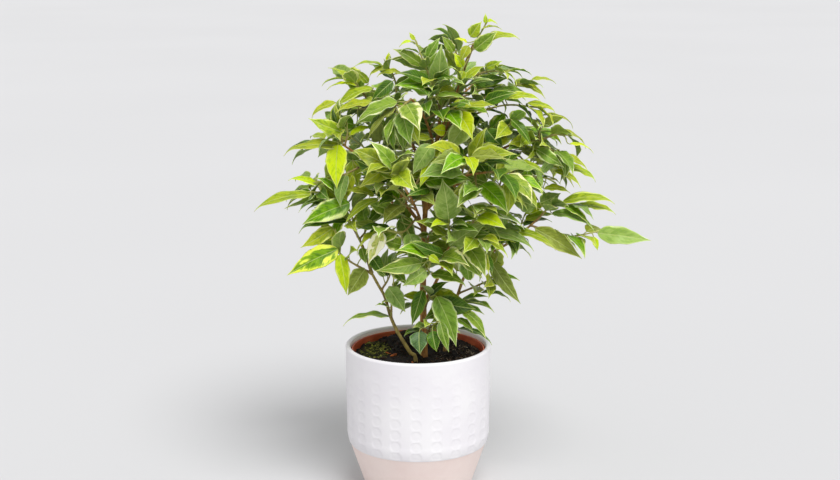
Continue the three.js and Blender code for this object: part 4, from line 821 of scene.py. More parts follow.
def inner_twig(room, limb, owner, at, order, draw):
    """Finds room for an inner twig at a place along a branch. Returns its foot, its route and its leaves."""
    for attempt in range(INNER_TRIES):
        spun = INNER_TURN * order + INNER_RETRY_TURN * attempt
        turn = math.radians(spun + INNER_TURN_SPREAD * draw())
        route = inner_route(limb, at, turn, mix(*INNER_REACH, draw()))
        twig = curve_points(route, TWIG_STEPS)
        tube = obstacle(*tube_corners(twig, TWIG_RADII, TWIG_SIDES), owner)
        if not room.crosses(tube, limb):
            room.put(tube)
            leaves = []
            place_more(room, twig, leaves, owner, INNER_LEAVES, mix(*INNER_LONGEST, draw()), draw)
            return point_along(wood_points(limb), at)[0], route, leaves
    return None


def fill_crown(room, twigs, crown):
    """Adds the further leaves. Returns the inner twigs' feet, routes and leaves, branch by branch."""
    for shoot, (*_, longest) in enumerate(SHOOTS.values()):
        draw = seeded_draw(MORE_SEEDS + shoot)
        place_more(room, twigs[shoot], crown[shoot], shoot, MORE_LEAVES, longest * MORE_LENGTH, draw)
        crown[shoot].sort(key=lambda leaf: leaf["share"])
    inner = {}
    for i, limb in enumerate(LIMBS):
        points = wood_points(limb)
        length = np.linalg.norm(np.diff(points, axis=0), axis=1).sum()
        draw = seeded_draw(INNER_SEEDS + i)
        stations = int(length * (1 - INNER_FROM) / INNER_SPACING)
        for k in range(stations):
            at = mix(INNER_FROM, 1, (k + draw()) / stations)
            if point_along(points, at)[0][2] >= INNER_LOWEST:
                found = inner_twig(room, limb, (limb, k), at, k, draw)
                if found:
                    inner.setdefault(limb, []).append(found)
    return inner


# Fine meshes

WELD_REACH = 1e-5


def to_linear(colour):
    """A hexadecimal screen colour as the linear red, green, blue and alpha that Blender's shaders take."""
    parts = [((colour >> shift) & 255) / 255 for shift in (16, 8, 0)]
    return [p / 12.92 if p <= 0.04045 else ((p + 0.055) / 1.055) ** 2.4 for p in parts] + [1.0]


class Shape:
    """A mesh in the making: points, faces, and the values that its material reads."""

    def __init__(self):
        self.points, self.quads, self.slots, self.uvs, self.values = [], [], [], [], {}
        self.count = 0

    def add(self, points, quads, slot=0, uvs=None, **values):
        """Adds a patch: its points, its faces as rows of four, a map place for each face corner, and a
        value of each named kind for each point."""
        self.points.append(points)
        self.quads.append(np.asarray(quads) + self.count)
        self.slots.append(np.full(len(quads), slot))
        self.uvs.append(np.zeros((len(quads), 4, 2)) if uvs is None else uvs)
        for name, value in values.items():
            self.values.setdefault(name, []).append(np.broadcast_to(value, (len(points), len(value[0]))))
        self.count += len(points)

    def object(self, name, materials):
        """The finished object, smooth-shaded. A face that names a corner twice becomes a triangle."""
        points = np.vstack(self.points) * MM
        quads = np.vstack(self.quads)
        uvs = np.vstack(self.uvs)
        keep = quads != np.roll(quads, 1, axis=1)
        mesh = bpy.data.meshes.new(name)
        mesh.vertices.add(len(points))
        mesh.vertices.foreach_set("co", points.astype(np.float32).ravel())
        totals = keep.sum(1)
        mesh.loops.add(int(totals.sum()))
        mesh.loops.foreach_set("vertex_index", quads[keep].astype(np.int32))
        mesh.polygons.add(len(quads))
        starts = totals.cumsum() - totals
        mesh.polygons.foreach_set("loop_start", starts.astype(np.int32))
        mesh.polygons.foreach_set("loop_total", totals.astype(np.int32))
        mesh.polygons.foreach_set("material_index", np.concatenate(self.slots).astype(np.int32))
        for material in materials:
            mesh.materials.append(material)
        layer = mesh.uv_layers.new(name="OFBake")
        layer.data.foreach_set("uv", uvs[keep].astype(np.float32).ravel())
        for value_name, parts in self.values.items():
            value = np.vstack(parts).astype(np.float32)
            kind = "FLOAT_COLOR" if value.shape[1] == 4 else "FLOAT_VECTOR"
            attribute = mesh.attributes.new(value_name, kind, "POINT")
            attribute.data.foreach_set("color" if value.shape[1] == 4 else "vector", value.ravel())
        mesh.update(calc_edges=True)
        mesh.validate()
        mesh.shade_smooth()
        return linked(name, mesh)

    def piece(self, name, materials, node=None, welded=False):
        """The finished object as a piece of the plant. It takes the place of a solid if one is named."""
        made = self.object(name, materials)
        if welded:
            weld(made)
        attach(made, "root")
        if node:
            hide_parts(node)


def linked(name, data):
    """A new object in the scene."""
    made = bpy.data.objects.new(name, data)
    bpy.context.scene.collection.objects.link(made)
    return made


def weld(made):
    """Joins the points that lie on each other, where two patches of a shape meet."""
    mesh = bmesh.new()
    mesh.from_mesh(made.data)
    bmesh.ops.remove_doubles(mesh, verts=mesh.verts, dist=WELD_REACH)
    mesh.to_mesh(made.data)
    mesh.free()


def grid_quads(rows, columns, closed=False):
    """The faces between neighbouring points of a grid, and of its last column and first if it is closed."""
    i, j = np.meshgrid(np.arange(rows - 1), np.arange(columns if closed else columns - 1), indexing="ij")
    after = (j + 1) % columns
    corners = [i * columns + j, i * columns + after, (i + 1) * columns + after, (i + 1) * columns + j]
    return np.stack([c.ravel() for c in corners], 1)


def grid_map(rows, columns, low, high):
    """A place on the map for each corner of each face of a grid, within a rectangle of the map."""
    i, j = np.meshgrid(np.arange(rows - 1), np.arange(columns - 1), indexing="ij")
    i, j = i.ravel(), j.ravel()
    u = np.stack([j, j + 1, j + 1, j], 1) / (columns - 1)
    v = np.stack([i, i, i + 1, i + 1], 1) / (rows - 1)
    return np.stack([mix(low[0], high[0], u), mix(low[1], high[1], v)], -1)


def fan(centre, ring, turned=False):
    """Triangles between a centre and a closed ring of corners."""
    after = np.roll(ring, -1)
    a, b = (after, ring) if turned else (ring, after)
    return np.stack([np.full(len(ring), centre), a, b, b], 1)


def frames_along(points):
    """Unit vectors along, beside and above a path, turned as little as possible from ring to ring."""
    tangents = np.gradient(points, axis=0)
    tangents /= np.linalg.norm(tangents, axis=1)[:, None]
    side = np.cross(tangents[0], across_from(tangents[0]))
    sides = []
    for tangent in tangents:
        side = unit(side - tangent * (side @ tangent))
        sides.append(side)
    sides = np.array(sides)
    return tangents, sides, np.cross(sides, tangents)


def add_tube(shape, points, radii, sides, slot, low, high, shades, bumps=None):
    """A smooth tube with closed ends. shades is a value from 0 to 1 for each ring, for the material."""
    _, side, up = frames_along(points)
    angle = np.linspace(0, 2 * np.pi, sides, endpoint=False)
    ways = side[:, None] * np.cos(angle)[None, :, None] + up[:, None] * np.sin(angle)[None, :, None]
    reach = np.asarray(radii)[:, None] * (np.ones((1, sides)) if bumps is None else bumps)
    rings = points[:, None] + ways * reach[:, :, None]
    rows = len(points)
    corners = np.vstack([rings.reshape(-1, 3), points[0], points[-1]])
    quads = grid_quads(rows, sides, closed=True)[:, ::-1]
    ring = np.arange(sides)
    start, end = fan(rows * sides, ring), fan(rows * sides + 1, (rows - 1) * sides + ring, turned=True)
    columns = grid_map(rows, sides + 1, low, high)[:, ::-1]
    caps = np.full((2 * sides, 4, 2), low)
    place = np.zeros((len(corners), 3))
    place[:-2, 0] = np.repeat(shades, sides)
    place[-2:, 0] = shades[0], shades[-1]
    shape.add(corners, np.vstack([quads, start, end]), slot, np.vstack([columns, caps]),
              leaf_place=place, leaf_form=np.zeros((1, 3)), leaf_heart=np.zeros((1, 4)),
              leaf_mottle=np.zeros((1, 4)), leaf_margin=np.zeros((1, 4)))


# Fine leaves: how far across their columns of points lie and how many rows they have, for the leaves of the
# solid model and for those added, and the width of the blade along it
FINE = (np.array([-1, -0.9, -0.72, -0.5, -0.28, -0.08, 0, 0.08, 0.28, 0.5, 0.72, 0.9, 1]), 22)
PLAIN = (np.array([-1, -0.86, -0.55, -0.1, 0, 0.1, 0.55, 0.86, 1]), 15)
WIDTHS = np.array([(0, 0.07), (0.025, 0.34), (0.06, 0.56), (0.1, 0.72), (0.2, 0.95), (0.32, 1),
                   (0.44, 0.95), (0.54, 0.84), (0.63, 0.68), (0.71, 0.51), (0.78, 0.35), (0.84, 0.22),
                   (0.9, 0.12), (0.96, 0.055), (1, 0.004)])
LEAST_WIDTH = 0.003
BLADE_HALF_THICKNESS = 0.2
RIB_DEPTH, RIB_WIDTH, GROOVE_SHARE, RIB_TAPER = 0.3, 0.5, 0.25, 0.75
WAVES, WAVE_HEIGHT, EDGE_WAVE = (1.6, 2.8), (0.03, 0.09), 0.05
EDGE_DROOP = (0.0, 0.16)
BEND_STEPS, FOLD_CURVE, DROOP_CURVE = 241, 1.3, 4
RIPPLE_ONSET, RIPPLE_LIFT, UNEVEN_WAVES, UNEVEN_PHASE = 0.15, 2, 1.7, 3
SWEEP, TAIL_CURL, TAIL_FROM, TWIST, UNTWISTED_AT = 0.035, (0, 34), 0.7, 16, 0.3
PETIOLE_SIDES, PETIOLE_RINGS, PETIOLE_RADII, PETIOLE_OVERLAP = 5, 6, (0.6, 0.42), 0.6
PETIOLE_ENTRY, PETIOLE_EXIT, PETIOLE_SWING = 0.4, 0.35, 1.5
TWIG_RINGS, INNER_RINGS, FINE_TWIG_SIDES, LEAF_SCAR, SCAR_REACH = 26, 9, 7, 0.22, 0.025
BUD_LENGTH, BUD_RINGS, BUD_RADII = 4.5, (0.25, 0.6, 1), (0.75, 0.5, 0.08)
TWIG_GROWTH, TWIG_FOOT_GROWTH = 1.15, 0.35
TWIG_FOOT_SHADE, TWIG_SHADE_RISE = 0.15, 0.7

# Where each leaf's parts lie in its cell of the map: the lower and the upper corner
TOP_CELL = (0.02, 0.03), (0.42, 0.97)
LOW_CELL = (0.45, 0.03), (0.85, 0.97)
STALK_CELL = (0.88, 0.05), (0.98, 0.95)
END_PLACE = (0.2, 0.03)
LEAF_ROWS_END, TWIG_ROWS, TWIG_COLUMN = 0.94, (0.955, 0.995), (0.05, 0.95)


def smooth_step(low, high, value):
    t = np.clip((value - low) / (high - low), 0, 1)
    return t * t * (3 - 2 * t)


def blade_widths(t):
    """The blade's half-width as a share of its greatest: a smooth curve through WIDTHS."""
    at, width = WIDTHS.T
    slopes = np.gradient(width, at)
    k = np.clip(np.searchsorted(at, t, side="right") - 1, 0, len(at) - 2)
    span = at[k + 1] - at[k]
    u = (t - at[k]) / span
    cubic = (width[k] * (2 * u**3 - 3 * u**2 + 1) + slopes[k] * span * (u**3 - 2 * u**2 + u)
             + width[k + 1] * (3 * u**2 - 2 * u**3) + slopes[k + 1] * span * (u**3 - u**2))
    return np.maximum(cubic, LEAST_WIDTH)


def blade_grid(leaf, draw, across, rows):
    """The points of a blade's middle surface, row by row from the stalk, and the way up at each."""
    t = 0.5 - 0.5 * np.cos(np.linspace(0, np.pi, rows))
    fine = np.linspace(0, 1, BEND_STEPS)
    curl = np.radians(mix(*TAIL_CURL, draw())) * smooth_step(TAIL_FROM, 1, fine)
    bend = np.radians(leaf["bend"]) * fine**BEND_ONSET + curl
    steps = np.diff(fine, prepend=0)
    ahead = np.interp(t, fine, np.cumsum(np.cos(bend) * steps)) * leaf["length"]
    below = np.interp(t, fine, np.cumsum(np.sin(bend) * steps)) * leaf["length"]
    bend = np.interp(t, fine, bend)
    left = np.cross(leaf["normal"], leaf["axis"])
    sweep = mix(-SWEEP, SWEEP, draw()) * leaf["length"] * np.sin(np.pi * t)
    spine = (leaf["base"] + ahead[:, None] * leaf["axis"] - below[:, None] * leaf["normal"]
             + sweep[:, None] * left)
    up = np.cos(bend)[:, None] * leaf["normal"] + np.sin(bend)[:, None] * leaf["axis"]
    twist = np.radians(mix(-TWIST, TWIST, draw())) * (t - UNTWISTED_AT)
    side = left * np.cos(twist)[:, None] + up * np.sin(twist)[:, None]
    up = up * np.cos(twist)[:, None] - left * np.sin(twist)[:, None]
    half = leaf["width"] / 2 * blade_widths(t)
    droop, wave, waves = mix(*EDGE_DROOP, draw()), mix(*WAVE_HEIGHT, draw()), mix(*WAVES, draw())
    phases = 2 * np.pi * draw(), 2 * np.pi * draw()
    a = np.abs(across)
    phase = np.where(across < 0, phases[0], phases[1])
    onset = smooth_step(0, RIPPLE_ONSET, t)[:, None]
    ripple = wave * a**2 * np.sin(2 * np.pi * waves * t[:, None] + phase) * onset
    lift = half[:, None] * (leaf["fold"] * a**FOLD_CURVE - droop * a**DROOP_CURVE + ripple * RIPPLE_LIFT)
    uneven = 1 + EDGE_WAVE * np.sin(2 * np.pi * waves * UNEVEN_WAVES * t[:, None] + phase * UNEVEN_PHASE)
    wide = half[:, None] * across * uneven
    grid = spine[:, None] + side[:, None] * wide[..., None] + up[:, None] * lift[..., None]
    return t, half, grid, up


def shell_faces(rows, columns):
    """The faces of a blade's shell: its top, its underside, which shares the side edges, and its ends."""
    count = rows * columns
    under = np.arange(count).reshape(rows, columns) + count
    under[:, 0], under[:, -1] = np.arange(rows) * columns, np.arange(rows) * columns + columns - 1
    quads = grid_quads(rows, columns)
    ends = []
    for row, turn in ((0, 1), (rows - 1, -1)):
        for c in range(columns - 1):
            upper = row * columns + c
            ends.append([upper, upper + 1, under[row, c + 1], under[row, c]][::turn])
    return np.vstack([quads[:, ::-1], under.ravel()[quads], ends])


def in_cell(cell, place):
    """A place within a cell, as a place on the whole map."""
    (x, y), (w, h) = cell
    return x + place[0] * w, y + place[1] * h


def add_blade(shape, leaf, look, draw, cell, detail):
    """A blade as a closed shell with a groove along its upper side and a rib along its lower one."""
    across, rows = detail
    columns = len(across)
    t, half, grid, up = blade_grid(leaf, draw, across, rows)
    distance = half[:, None] * across
    rib = np.exp(-((distance / RIB_WIDTH) ** 2)) * (1 - RIB_TAPER * t)[:, None] * (np.abs(across) < 1)
    body = BLADE_HALF_THICKNESS * np.sqrt(1 - across**2)[None] * np.ones((rows, 1))
    top = grid + up[:, None] * (body - GROOVE_SHARE * RIB_DEPTH * rib)[..., None]
    low = grid - up[:, None] * (body + RIB_DEPTH * rib)[..., None]
    top_map, low_map = (grid_map(rows, columns, *(in_cell(cell, corner) for corner in side))
                        for side in (TOP_CELL, LOW_CELL))
    end_map = np.full((2 * (columns - 1), 4, 2), in_cell(cell, END_PLACE))
    place = np.stack([np.repeat(t, columns), np.tile(across, rows), np.abs(distance).ravel()], 1)
    form = np.tile([look["reach"], look["seed"], 0], (2 * len(place), 1))
    form[len(place):, 2] = 1
    shape.add(
        np.vstack([top.reshape(-1, 3), low.reshape(-1, 3)]),
        shell_faces(rows, columns),
        0,
        np.vstack([top_map[:, ::-1], low_map, end_map]),
        leaf_place=np.vstack([place, place]),
        leaf_form=form,
        leaf_heart=[look["heart"]],
        leaf_mottle=[look["mottle"]],
        leaf_margin=[look["margin"]],
    )


def add_petiole(shape, leaf, forward, cell):
    """A leaf's thin stalk, which leaves the twig forwards and swings round to the blade."""
    root, base = leaf["root"], leaf["base"]
    reach = np.linalg.norm(base - root)
    before = base - leaf["axis"] * reach * PETIOLE_ENTRY
    after = root + unit(forward + unit(base - root) * PETIOLE_SWING) * reach * PETIOLE_EXIT
    s = np.linspace(0, 1, PETIOLE_RINGS)[:, None]
    end = base + leaf["axis"] * PETIOLE_OVERLAP
    points = (1 - s) ** 3 * root + 3 * (1 - s) ** 2 * s * after + 3 * (1 - s) * s**2 * before + s**3 * end
    radii = mix(*PETIOLE_RADII, s[:, 0])
    low, high = (in_cell(cell, corner) for corner in STALK_CELL)
    add_tube(shape, points, radii, PETIOLE_SIDES, 1, low, high, np.ones(PETIOLE_RINGS))


VALUE_SPREAD, WARMTH_SPREAD, MARGIN_SPREAD = (0.91, 1.4), (0.93, 1.08), (0.75, 1.3)


def chosen_look(name, draw):
    """A leaf's own colours: those of its look, a little lighter or darker and warmer or cooler."""
    heart, mottle, margin, reach = LOOKS[name]
    value, warmth = mix(*VALUE_SPREAD, draw()), mix(*WARMTH_SPREAD, draw())

    def tinted(colour):
        r, g, b, a = to_linear(colour)
        return [r * value * warmth, g * value, b * value / warmth, a]

    return {"heart": tinted(heart), "mottle": tinted(mottle), "margin": tinted(margin),
            "reach": reach * mix(*MARGIN_SPREAD, draw()), "seed": draw()}


CROWN_MIDDLE, CROWN_REACH = np.array([20, 0, 310]), np.array([125, 100, 130])
SURFACE_FROM, SURFACE_BLUR = 0.62, 0.25


def rule_look(leaf, draw):
    """The look of a leaf placed by rule: fresher colours towards the surface of the crown."""
    out = np.linalg.norm((leaf["base"] - CROWN_MIDDLE) / CROWN_REACH)
    is_outside = out + mix(-SURFACE_BLUR, SURFACE_BLUR, draw()) > SURFACE_FROM
    shares = RULE_LOOKS["outside" if is_outside else "inside"]
    left = draw() * sum(shares.values())
    for name, share in shares.items():
        left -= share
        if left <= 0:
            return name
    return name


def add_twig(shape, foot, curve, leaves, low, high):
    """A twig from inside its branch to its bud, swollen where leaves join it."""
    tip = curve[-1] + unit(curve[-1] - curve[-2]) * BUD_LENGTH * np.array(BUD_RINGS)[:, None]
    points = np.vstack([foot, curve, tip])
    share = np.clip((np.arange(len(points)) - 1) / (len(curve) - 1), 0, 1)
    radii = mix(TWIG_RADII[0] * TWIG_GROWTH, TWIG_RADII[1], share)
    for leaf in leaves:
        radii += LEAF_SCAR * np.exp(-(((share - leaf["share"]) / SCAR_REACH) ** 2))
    radii[0] += TWIG_FOOT_GROWTH
    radii[-len(BUD_RADII):] = BUD_RADII
    shades = TWIG_FOOT_SHADE + TWIG_SHADE_RISE * share
    add_tube(shape, points, radii, FINE_TWIG_SIDES, 1, low, high, shades)


def leafy_piece(name, twigs, draw, materials, node=None):
    """One piece of leafy twigs. Each is given by its foot, its fine curve and its leaves."""
    shape = Shape()
    count = sum(len(leaves) for _, _, leaves in twigs)
    cells = math.ceil(math.sqrt(count))
    size = (1 / cells, LEAF_ROWS_END / math.ceil(count / cells))
    place = 0
    for k, (foot, curve, leaves) in enumerate(twigs):
        low, high = (((k + across) / len(twigs), row) for across, row in zip(TWIG_COLUMN, TWIG_ROWS))
        add_twig(shape, foot, curve, leaves, low, high)
        for leaf in leaves:
            cell = ((place % cells * size[0], place // cells * size[1]), size)
            place += 1
            root, forward = point_along(curve, leaf["share"])
            look = chosen_look(leaf["look"] or rule_look(leaf, draw), draw)
            add_blade(shape, leaf, look, draw, cell, PLAIN if "added" in leaf else FINE)
            add_petiole(shape, {**leaf, "root": root}, forward, cell)
    shape.piece(name, materials, node)


def leafy_crown():
    materials = [leaf_material(), twig_material()]
    room, twigs, crown = grow_crown()
    inner = fill_crown(room, twigs, crown)
    for shoot, (name, leaves) in enumerate(zip(SHOOTS, crown)):
        branch, at, to, _, _ = SHOOTS[name]
        curve = curve_points(twig_route(branch, at, to), TWIG_RINGS)
        foot = point_along(wood_points(branch), at)[0]
        draw = seeded_draw(LOOK_SEEDS + shoot)
        leafy_piece("leaves_" + name, [(foot, curve, leaves)], draw, materials, "spray_" + name)
    for i, (limb, found) in enumerate(inner.items()):
        fine = [(foot, curve_points(route, INNER_RINGS), leaves) for foot, route, leaves in found]
        leafy_piece("inner_leaves_" + limb, fine, seeded_draw(INNER_LOOK_SEEDS + i), materials)


# Materials

class Nodes:
    """Builds a material's nodes with short calls. Every call returns the node's output."""

    def __init__(self, name):
        self.material = bpy.data.materials.new(name)
        self.material.use_nodes = True
        self.tree = self.material.node_tree
        self.shader = self.tree.nodes["Principled BSDF"]

    def put(self, socket, value):
        if isinstance(value, bpy.types.NodeSocket):
            self.tree.links.new(value, socket)
        elif value is not None:
            socket.default_value = value

    def add(self, kind, inputs=(), output=0, **settings):
        node = self.tree.nodes.new(kind)
        for key, value in settings.items():
            setattr(node, key, value)
        for key, value in dict(inputs).items():
            self.put(node.inputs[key], value)
        return node.outputs[output]

    def math(self, operation, a, b=0.0):
        return self.add("ShaderNodeMath", {0: a, 1: b}, operation=operation)

    def plus(self, a, b):
        return self.math("ADD", a, b)

    def minus(self, a, b):
        return self.math("SUBTRACT", a, b)

    def times(self, a, b):
        return self.math("MULTIPLY", a, b)

    def ramp(self, value, low, high, start=0.0, end=1.0):
        """A smooth rise from start to end as value goes from low to high."""
        return self.add("ShaderNodeMapRange",
                        {"Value": value, "From Min": low, "From Max": high, "To Min": start, "To Max": end},
                        interpolation_type="SMOOTHSTEP")

    def blend(self, share, a, b):
        """Colour a where share is 0 and colour b where it is 1. Either may be a hexadecimal colour."""
        a, b = (to_linear(colour) if isinstance(colour, int) else colour for colour in (a, b))
        return self.add("ShaderNodeMix", {0: share, 6: a, 7: b}, 2, data_type="RGBA")

    def value(self, name, output="Vector"):
        return self.add("ShaderNodeAttribute", attribute_name=name, output=output)

    def parts(self, vector):
        node = self.tree.nodes.new("ShaderNodeSeparateXYZ")
        self.put(node.inputs[0], vector)
        return node.outputs

    def vector(self, x, y, z):
        return self.add("ShaderNodeCombineXYZ", {0: x, 1: y, 2: z})

    def noise(self, vector, scale, detail=2.0, roughness=0.5):
        return self.add("ShaderNodeTexNoise",
                        {"Vector": vector, "Scale": scale, "Detail": detail, "Roughness": roughness})

    def place(self):
        return self.add("ShaderNodeTexCoord", output="Object")

    def bump(self, height, strength, distance):
        self.put(self.shader.inputs["Normal"],
                 self.add("ShaderNodeBump", {"Height": height, "Strength": strength, "Distance": distance}))

    def finish(self, **sockets):
        for name, value in sockets.items():
            self.put(self.shader.inputs[name.replace("_", " ")], value)
        return self.material


def leaf_material():
    """A heart with darker mottling, a ragged pale margin, pale veins and a paler underside."""
    n = Nodes("leaf")
    t, s, distance = n.parts(n.value("leaf_place"))[:3]
    reach, seed, under = n.parts(n.value("leaf_form"))[:3]
    a = n.math("ABSOLUTE", s)
    outwards = n.minus(t, n.times(a, 0.18))
    shift = n.plus(n.times(seed, 37.0), n.times(n.math("SIGN", s), 4.0))

    def mottling(along, across, detail):
        """Noise whose patches lie along the side veins."""
        x, y = n.times(outwards, along), n.times(a, across)
        return n.noise(n.vector(x, y, shift), 1.0, detail, 0.6)

    broad, fine, streaks = mottling(3.0, 0.9, 1.0), mottling(11.0, 2.4, 3.0), mottling(34.0, 1.6, 2.0)
    ragged = n.plus(n.times(n.minus(fine, 0.5), 0.55),
                    n.times(n.minus(streaks, 0.5), 0.4))
    ragged = n.times(ragged, n.ramp(reach, 0.05, 0.35, 0.2, 1.0))
    local_reach = n.times(reach, n.ramp(broad, 0.42, 0.7, 0.45, 2.2))
    inwards = n.plus(n.plus(a, ragged), n.ramp(t, 0.66, 0.95, 0.0, 0.3))
    past_edge = n.minus(n.plus(inwards, local_reach), 1.0)
    patch = n.ramp(n.plus(fine, n.times(broad, 0.5)), 0.68, 0.86)
    colour = n.blend(patch, n.value("leaf_heart", "Color"), n.value("leaf_mottle", "Color"))
    between = n.blend(0.5, colour, n.value("leaf_margin", "Color"))
    colour = n.blend(n.ramp(past_edge, -0.16, -0.03, 0.0, 0.6), colour, between)
    colour = n.blend(n.ramp(past_edge, -0.05, 0.07), colour, n.value("leaf_margin", "Color"))
    veins = n.math("PINGPONG", n.times(n.minus(t, n.times(a, 0.2)), 11.0), 0.5)
    vein = n.times(n.ramp(veins, 0.0, 0.09, 1.0, 0.0), n.ramp(a, 0.75, 1.0, 1.0, 0.0))
    colour = n.blend(n.times(vein, 0.19), colour, 0xC8D484)
    colour = n.blend(n.ramp(distance, 0.12, 0.48, 0.58, 0.0), colour, 0xC4D080)
    colour = n.blend(under, colour, n.blend(0.3, colour, 0xA4B078))
    relief = n.plus(n.times(veins, -0.6), n.times(n.noise(n.place(), 900.0), 0.3))
    n.bump(relief, 0.25, 0.0003)
    return n.finish(Base_Color=colour, Roughness=n.ramp(under, 0, 1, 0.38, 0.6), Subsurface_Weight=0.35,
                    Subsurface_Radius=(0.7, 0.9, 0.12), Subsurface_Scale=0.0012, Specular_IOR_Level=0.18)


def twig_material():
    n = Nodes("twig")
    age = n.parts(n.value("leaf_place"))[0]
    grain = n.noise(n.place(), 700.0, 3.0)
    colour = n.blend(n.ramp(age, 0.0, 1.0), 0x9A7E4C, 0xAEB45C)
    colour = n.blend(n.times(grain, 0.4), colour, 0x7A6836)
    n.bump(grain, 0.3, 0.0002)
    return n.finish(Base_Color=colour, Roughness=0.55)


def bark_material(name, pale, dark, crack):
    n = Nodes(name)
    place = n.place()

    def stretched(*by):
        return n.add("ShaderNodeVectorMath", {0: place, 1: by}, operation="MULTIPLY")

    streaks = n.noise(stretched(1.0, 1.0, 0.22), 420.0, 4.0, 0.65)
    rings = n.noise(stretched(0.3, 0.3, 1.0), 520.0, 2.0)
    specks = n.ramp(n.add("ShaderNodeTexVoronoi", {"Vector": place, "Scale": 330.0}), 0.14, 0.24, 1.0, 0.0)
    colour = n.blend(n.ramp(streaks, 0.35, 0.68), dark, pale)
    colour = n.blend(n.ramp(rings, 0.6, 0.72, 0.0, 0.6), colour, crack)
    colour = n.blend(n.times(specks, 0.5), colour, 0xBE9C66)
    n.bump(n.plus(streaks, n.times(rings, 0.5)), 0.6, 0.0005)
    return n.finish(Base_Color=colour, Roughness=n.ramp(streaks, 0.3, 0.7, 0.7, 0.85))


def clouded(name, cloud, rise, dark, pale):
    """The nodes, the noise and the colour of a material that goes from dark to pale in clouds. cloud is the
    noise's scale, detail and roughness, and rise is where in it the colour turns."""
    n = Nodes(name)
    clouds = n.noise(n.place(), *cloud)
    return n, clouds, n.blend(n.ramp(clouds, *rise), dark, pale)


def soil_material():
    n, clods, colour = clouded("soil", (180.0, 5.0, 0.7), (0.35, 0.65), 0x0A0604, 0x1C120A)
    grains = n.noise(n.place(), 900.0, 3.0, 0.7)
    colour = n.blend(n.ramp(grains, 0.64, 0.74, 0.0, 0.55), colour, 0x4A321C)
    n.bump(n.plus(clods, grains), 0.8, 0.0012)
    return n.finish(Base_Color=colour, Roughness=0.93)


def crumb_material(name, dark, pale, pale_from=0.38):
    n, _, colour = clouded(name, (260.0, 3.0), (pale_from, 0.62), dark, pale)
    n.bump(n.noise(n.place(), 1500.0, 2.0), 0.5, 0.0003)
    return n.finish(Base_Color=colour, Roughness=0.9)


def plastic_material():
    n, mottle, colour = clouded("terracotta_plastic", (60.0, 3.0), (0.3, 0.7), 0xB04A22, 0xC86436)
    dust = n.noise(n.place(), 500.0, 4.0, 0.7)
    colour = n.blend(n.ramp(dust, 0.6, 0.78, 0.0, 0.3), colour, 0x5A3A26)
    n.bump(dust, 0.15, 0.0003)
    return n.finish(Base_Color=colour, Roughness=n.ramp(mottle, 0.3, 0.7, 0.42, 0.56))


def glaze_material(name, cool, warm):
    n, cloud, colour = clouded(name, (22.0, 3.0), (0.35, 0.65), cool, warm)
    speck = n.noise(n.place(), 650.0, 2.0)
    colour = n.blend(n.ramp(speck, 0.72, 0.8, 0.0, 0.12), colour, 0xCFC6BC)
    n.bump(n.noise(n.place(), 140.0, 2.0), 0.12, 0.0004)
    return n.finish(Base_Color=colour, Roughness=n.ramp(cloud, 0.3, 0.7, 0.36, 0.46), IOR=1.48)


def clay_material():
    n, _, colour = clouded("bare_clay", (30.0, 4.0, 0.6), (0.3, 0.7), 0xEBD8D2, 0xF0E0DA)
    grain = n.noise(n.place(), 1200.0, 3.0, 0.7)
    colour = n.blend(n.ramp(grain, 0.6, 0.75, 0.0, 0.25), colour, 0xDCC6BD)
    n.bump(grain, 0.35, 0.0002)
    return n.finish(Base_Color=colour, Roughness=0.78)


def floor_material():
    n, _, colour = clouded("floor", (0.7, 2.0), (0.3, 0.7), 0xCACACB, 0xCCCCCD)
    return n.finish(Base_Color=colour, Roughness=0.8)


# Stems

FINE_STEM_SIDES, ROUTE_STEPS, RING_SPACING, LEAST_RINGS = 20, 400, 2.2, 6
NODE_SPACING, NODE_SWELL, NODE_REACH = 17, 0.05, 1.3
COLLAR_GROWTH, COLLAR_LENGTH = 0.55, 6
SKIN_DEPTH, SKIN_SCALE, SKIN_SCALE_ALONG = 0.05, 1.3, 0.12
BARK_MAP_EDGE, BARK_MAP_FOOT, BARK_MAP_TOP = 0.002, 0.01, 0.99


def fine_limb(shape, name, is_stem, seed):
    """A stem or branch: its curve cut finely, with swollen nodes, an uneven skin and a foot collar."""
    radii, route, _, _ = LIMBS[name]
    rough = curve_points(route, ROUTE_STEPS)
    lengths = np.concatenate([[0], np.cumsum(np.linalg.norm(np.diff(rough, axis=0), axis=1))])
    total = lengths[-1]
    rings = max(int(total / RING_SPACING), LEAST_RINGS)
    at = np.linspace(0, total, rings)
    points = np.stack([np.interp(at, lengths, rough[:, k]) for k in range(3)], 1)
    radius = mix(radii[0], radii[1], at / total)
    nodes = np.abs((at / NODE_SPACING + 0.5) % 1 - 0.5) * NODE_SPACING
    radius = radius * (1 + NODE_SWELL * np.exp(-((nodes / NODE_REACH) ** 2)))
    if not is_stem:
        radius = radius + COLLAR_GROWTH * np.exp(-at / COLLAR_LENGTH)
    around = [(math.cos(b) * SKIN_SCALE, math.sin(b) * SKIN_SCALE)
              for b in np.linspace(0, 2 * np.pi, FINE_STEM_SIDES, endpoint=False)]
    bumps = np.array([[1 + SKIN_DEPTH * noise.noise(Vector((*way, z * SKIN_SCALE_ALONG + seed)))
                       for way in around] for z in at])
    width = 1 / len(LIMBS)
    left = seed * width + BARK_MAP_EDGE
    right = left + width - 2 * BARK_MAP_EDGE
    add_tube(shape, points, radius, FINE_STEM_SIDES, 0, (left, BARK_MAP_FOOT), (right, BARK_MAP_TOP),
             np.zeros(rings), bumps)


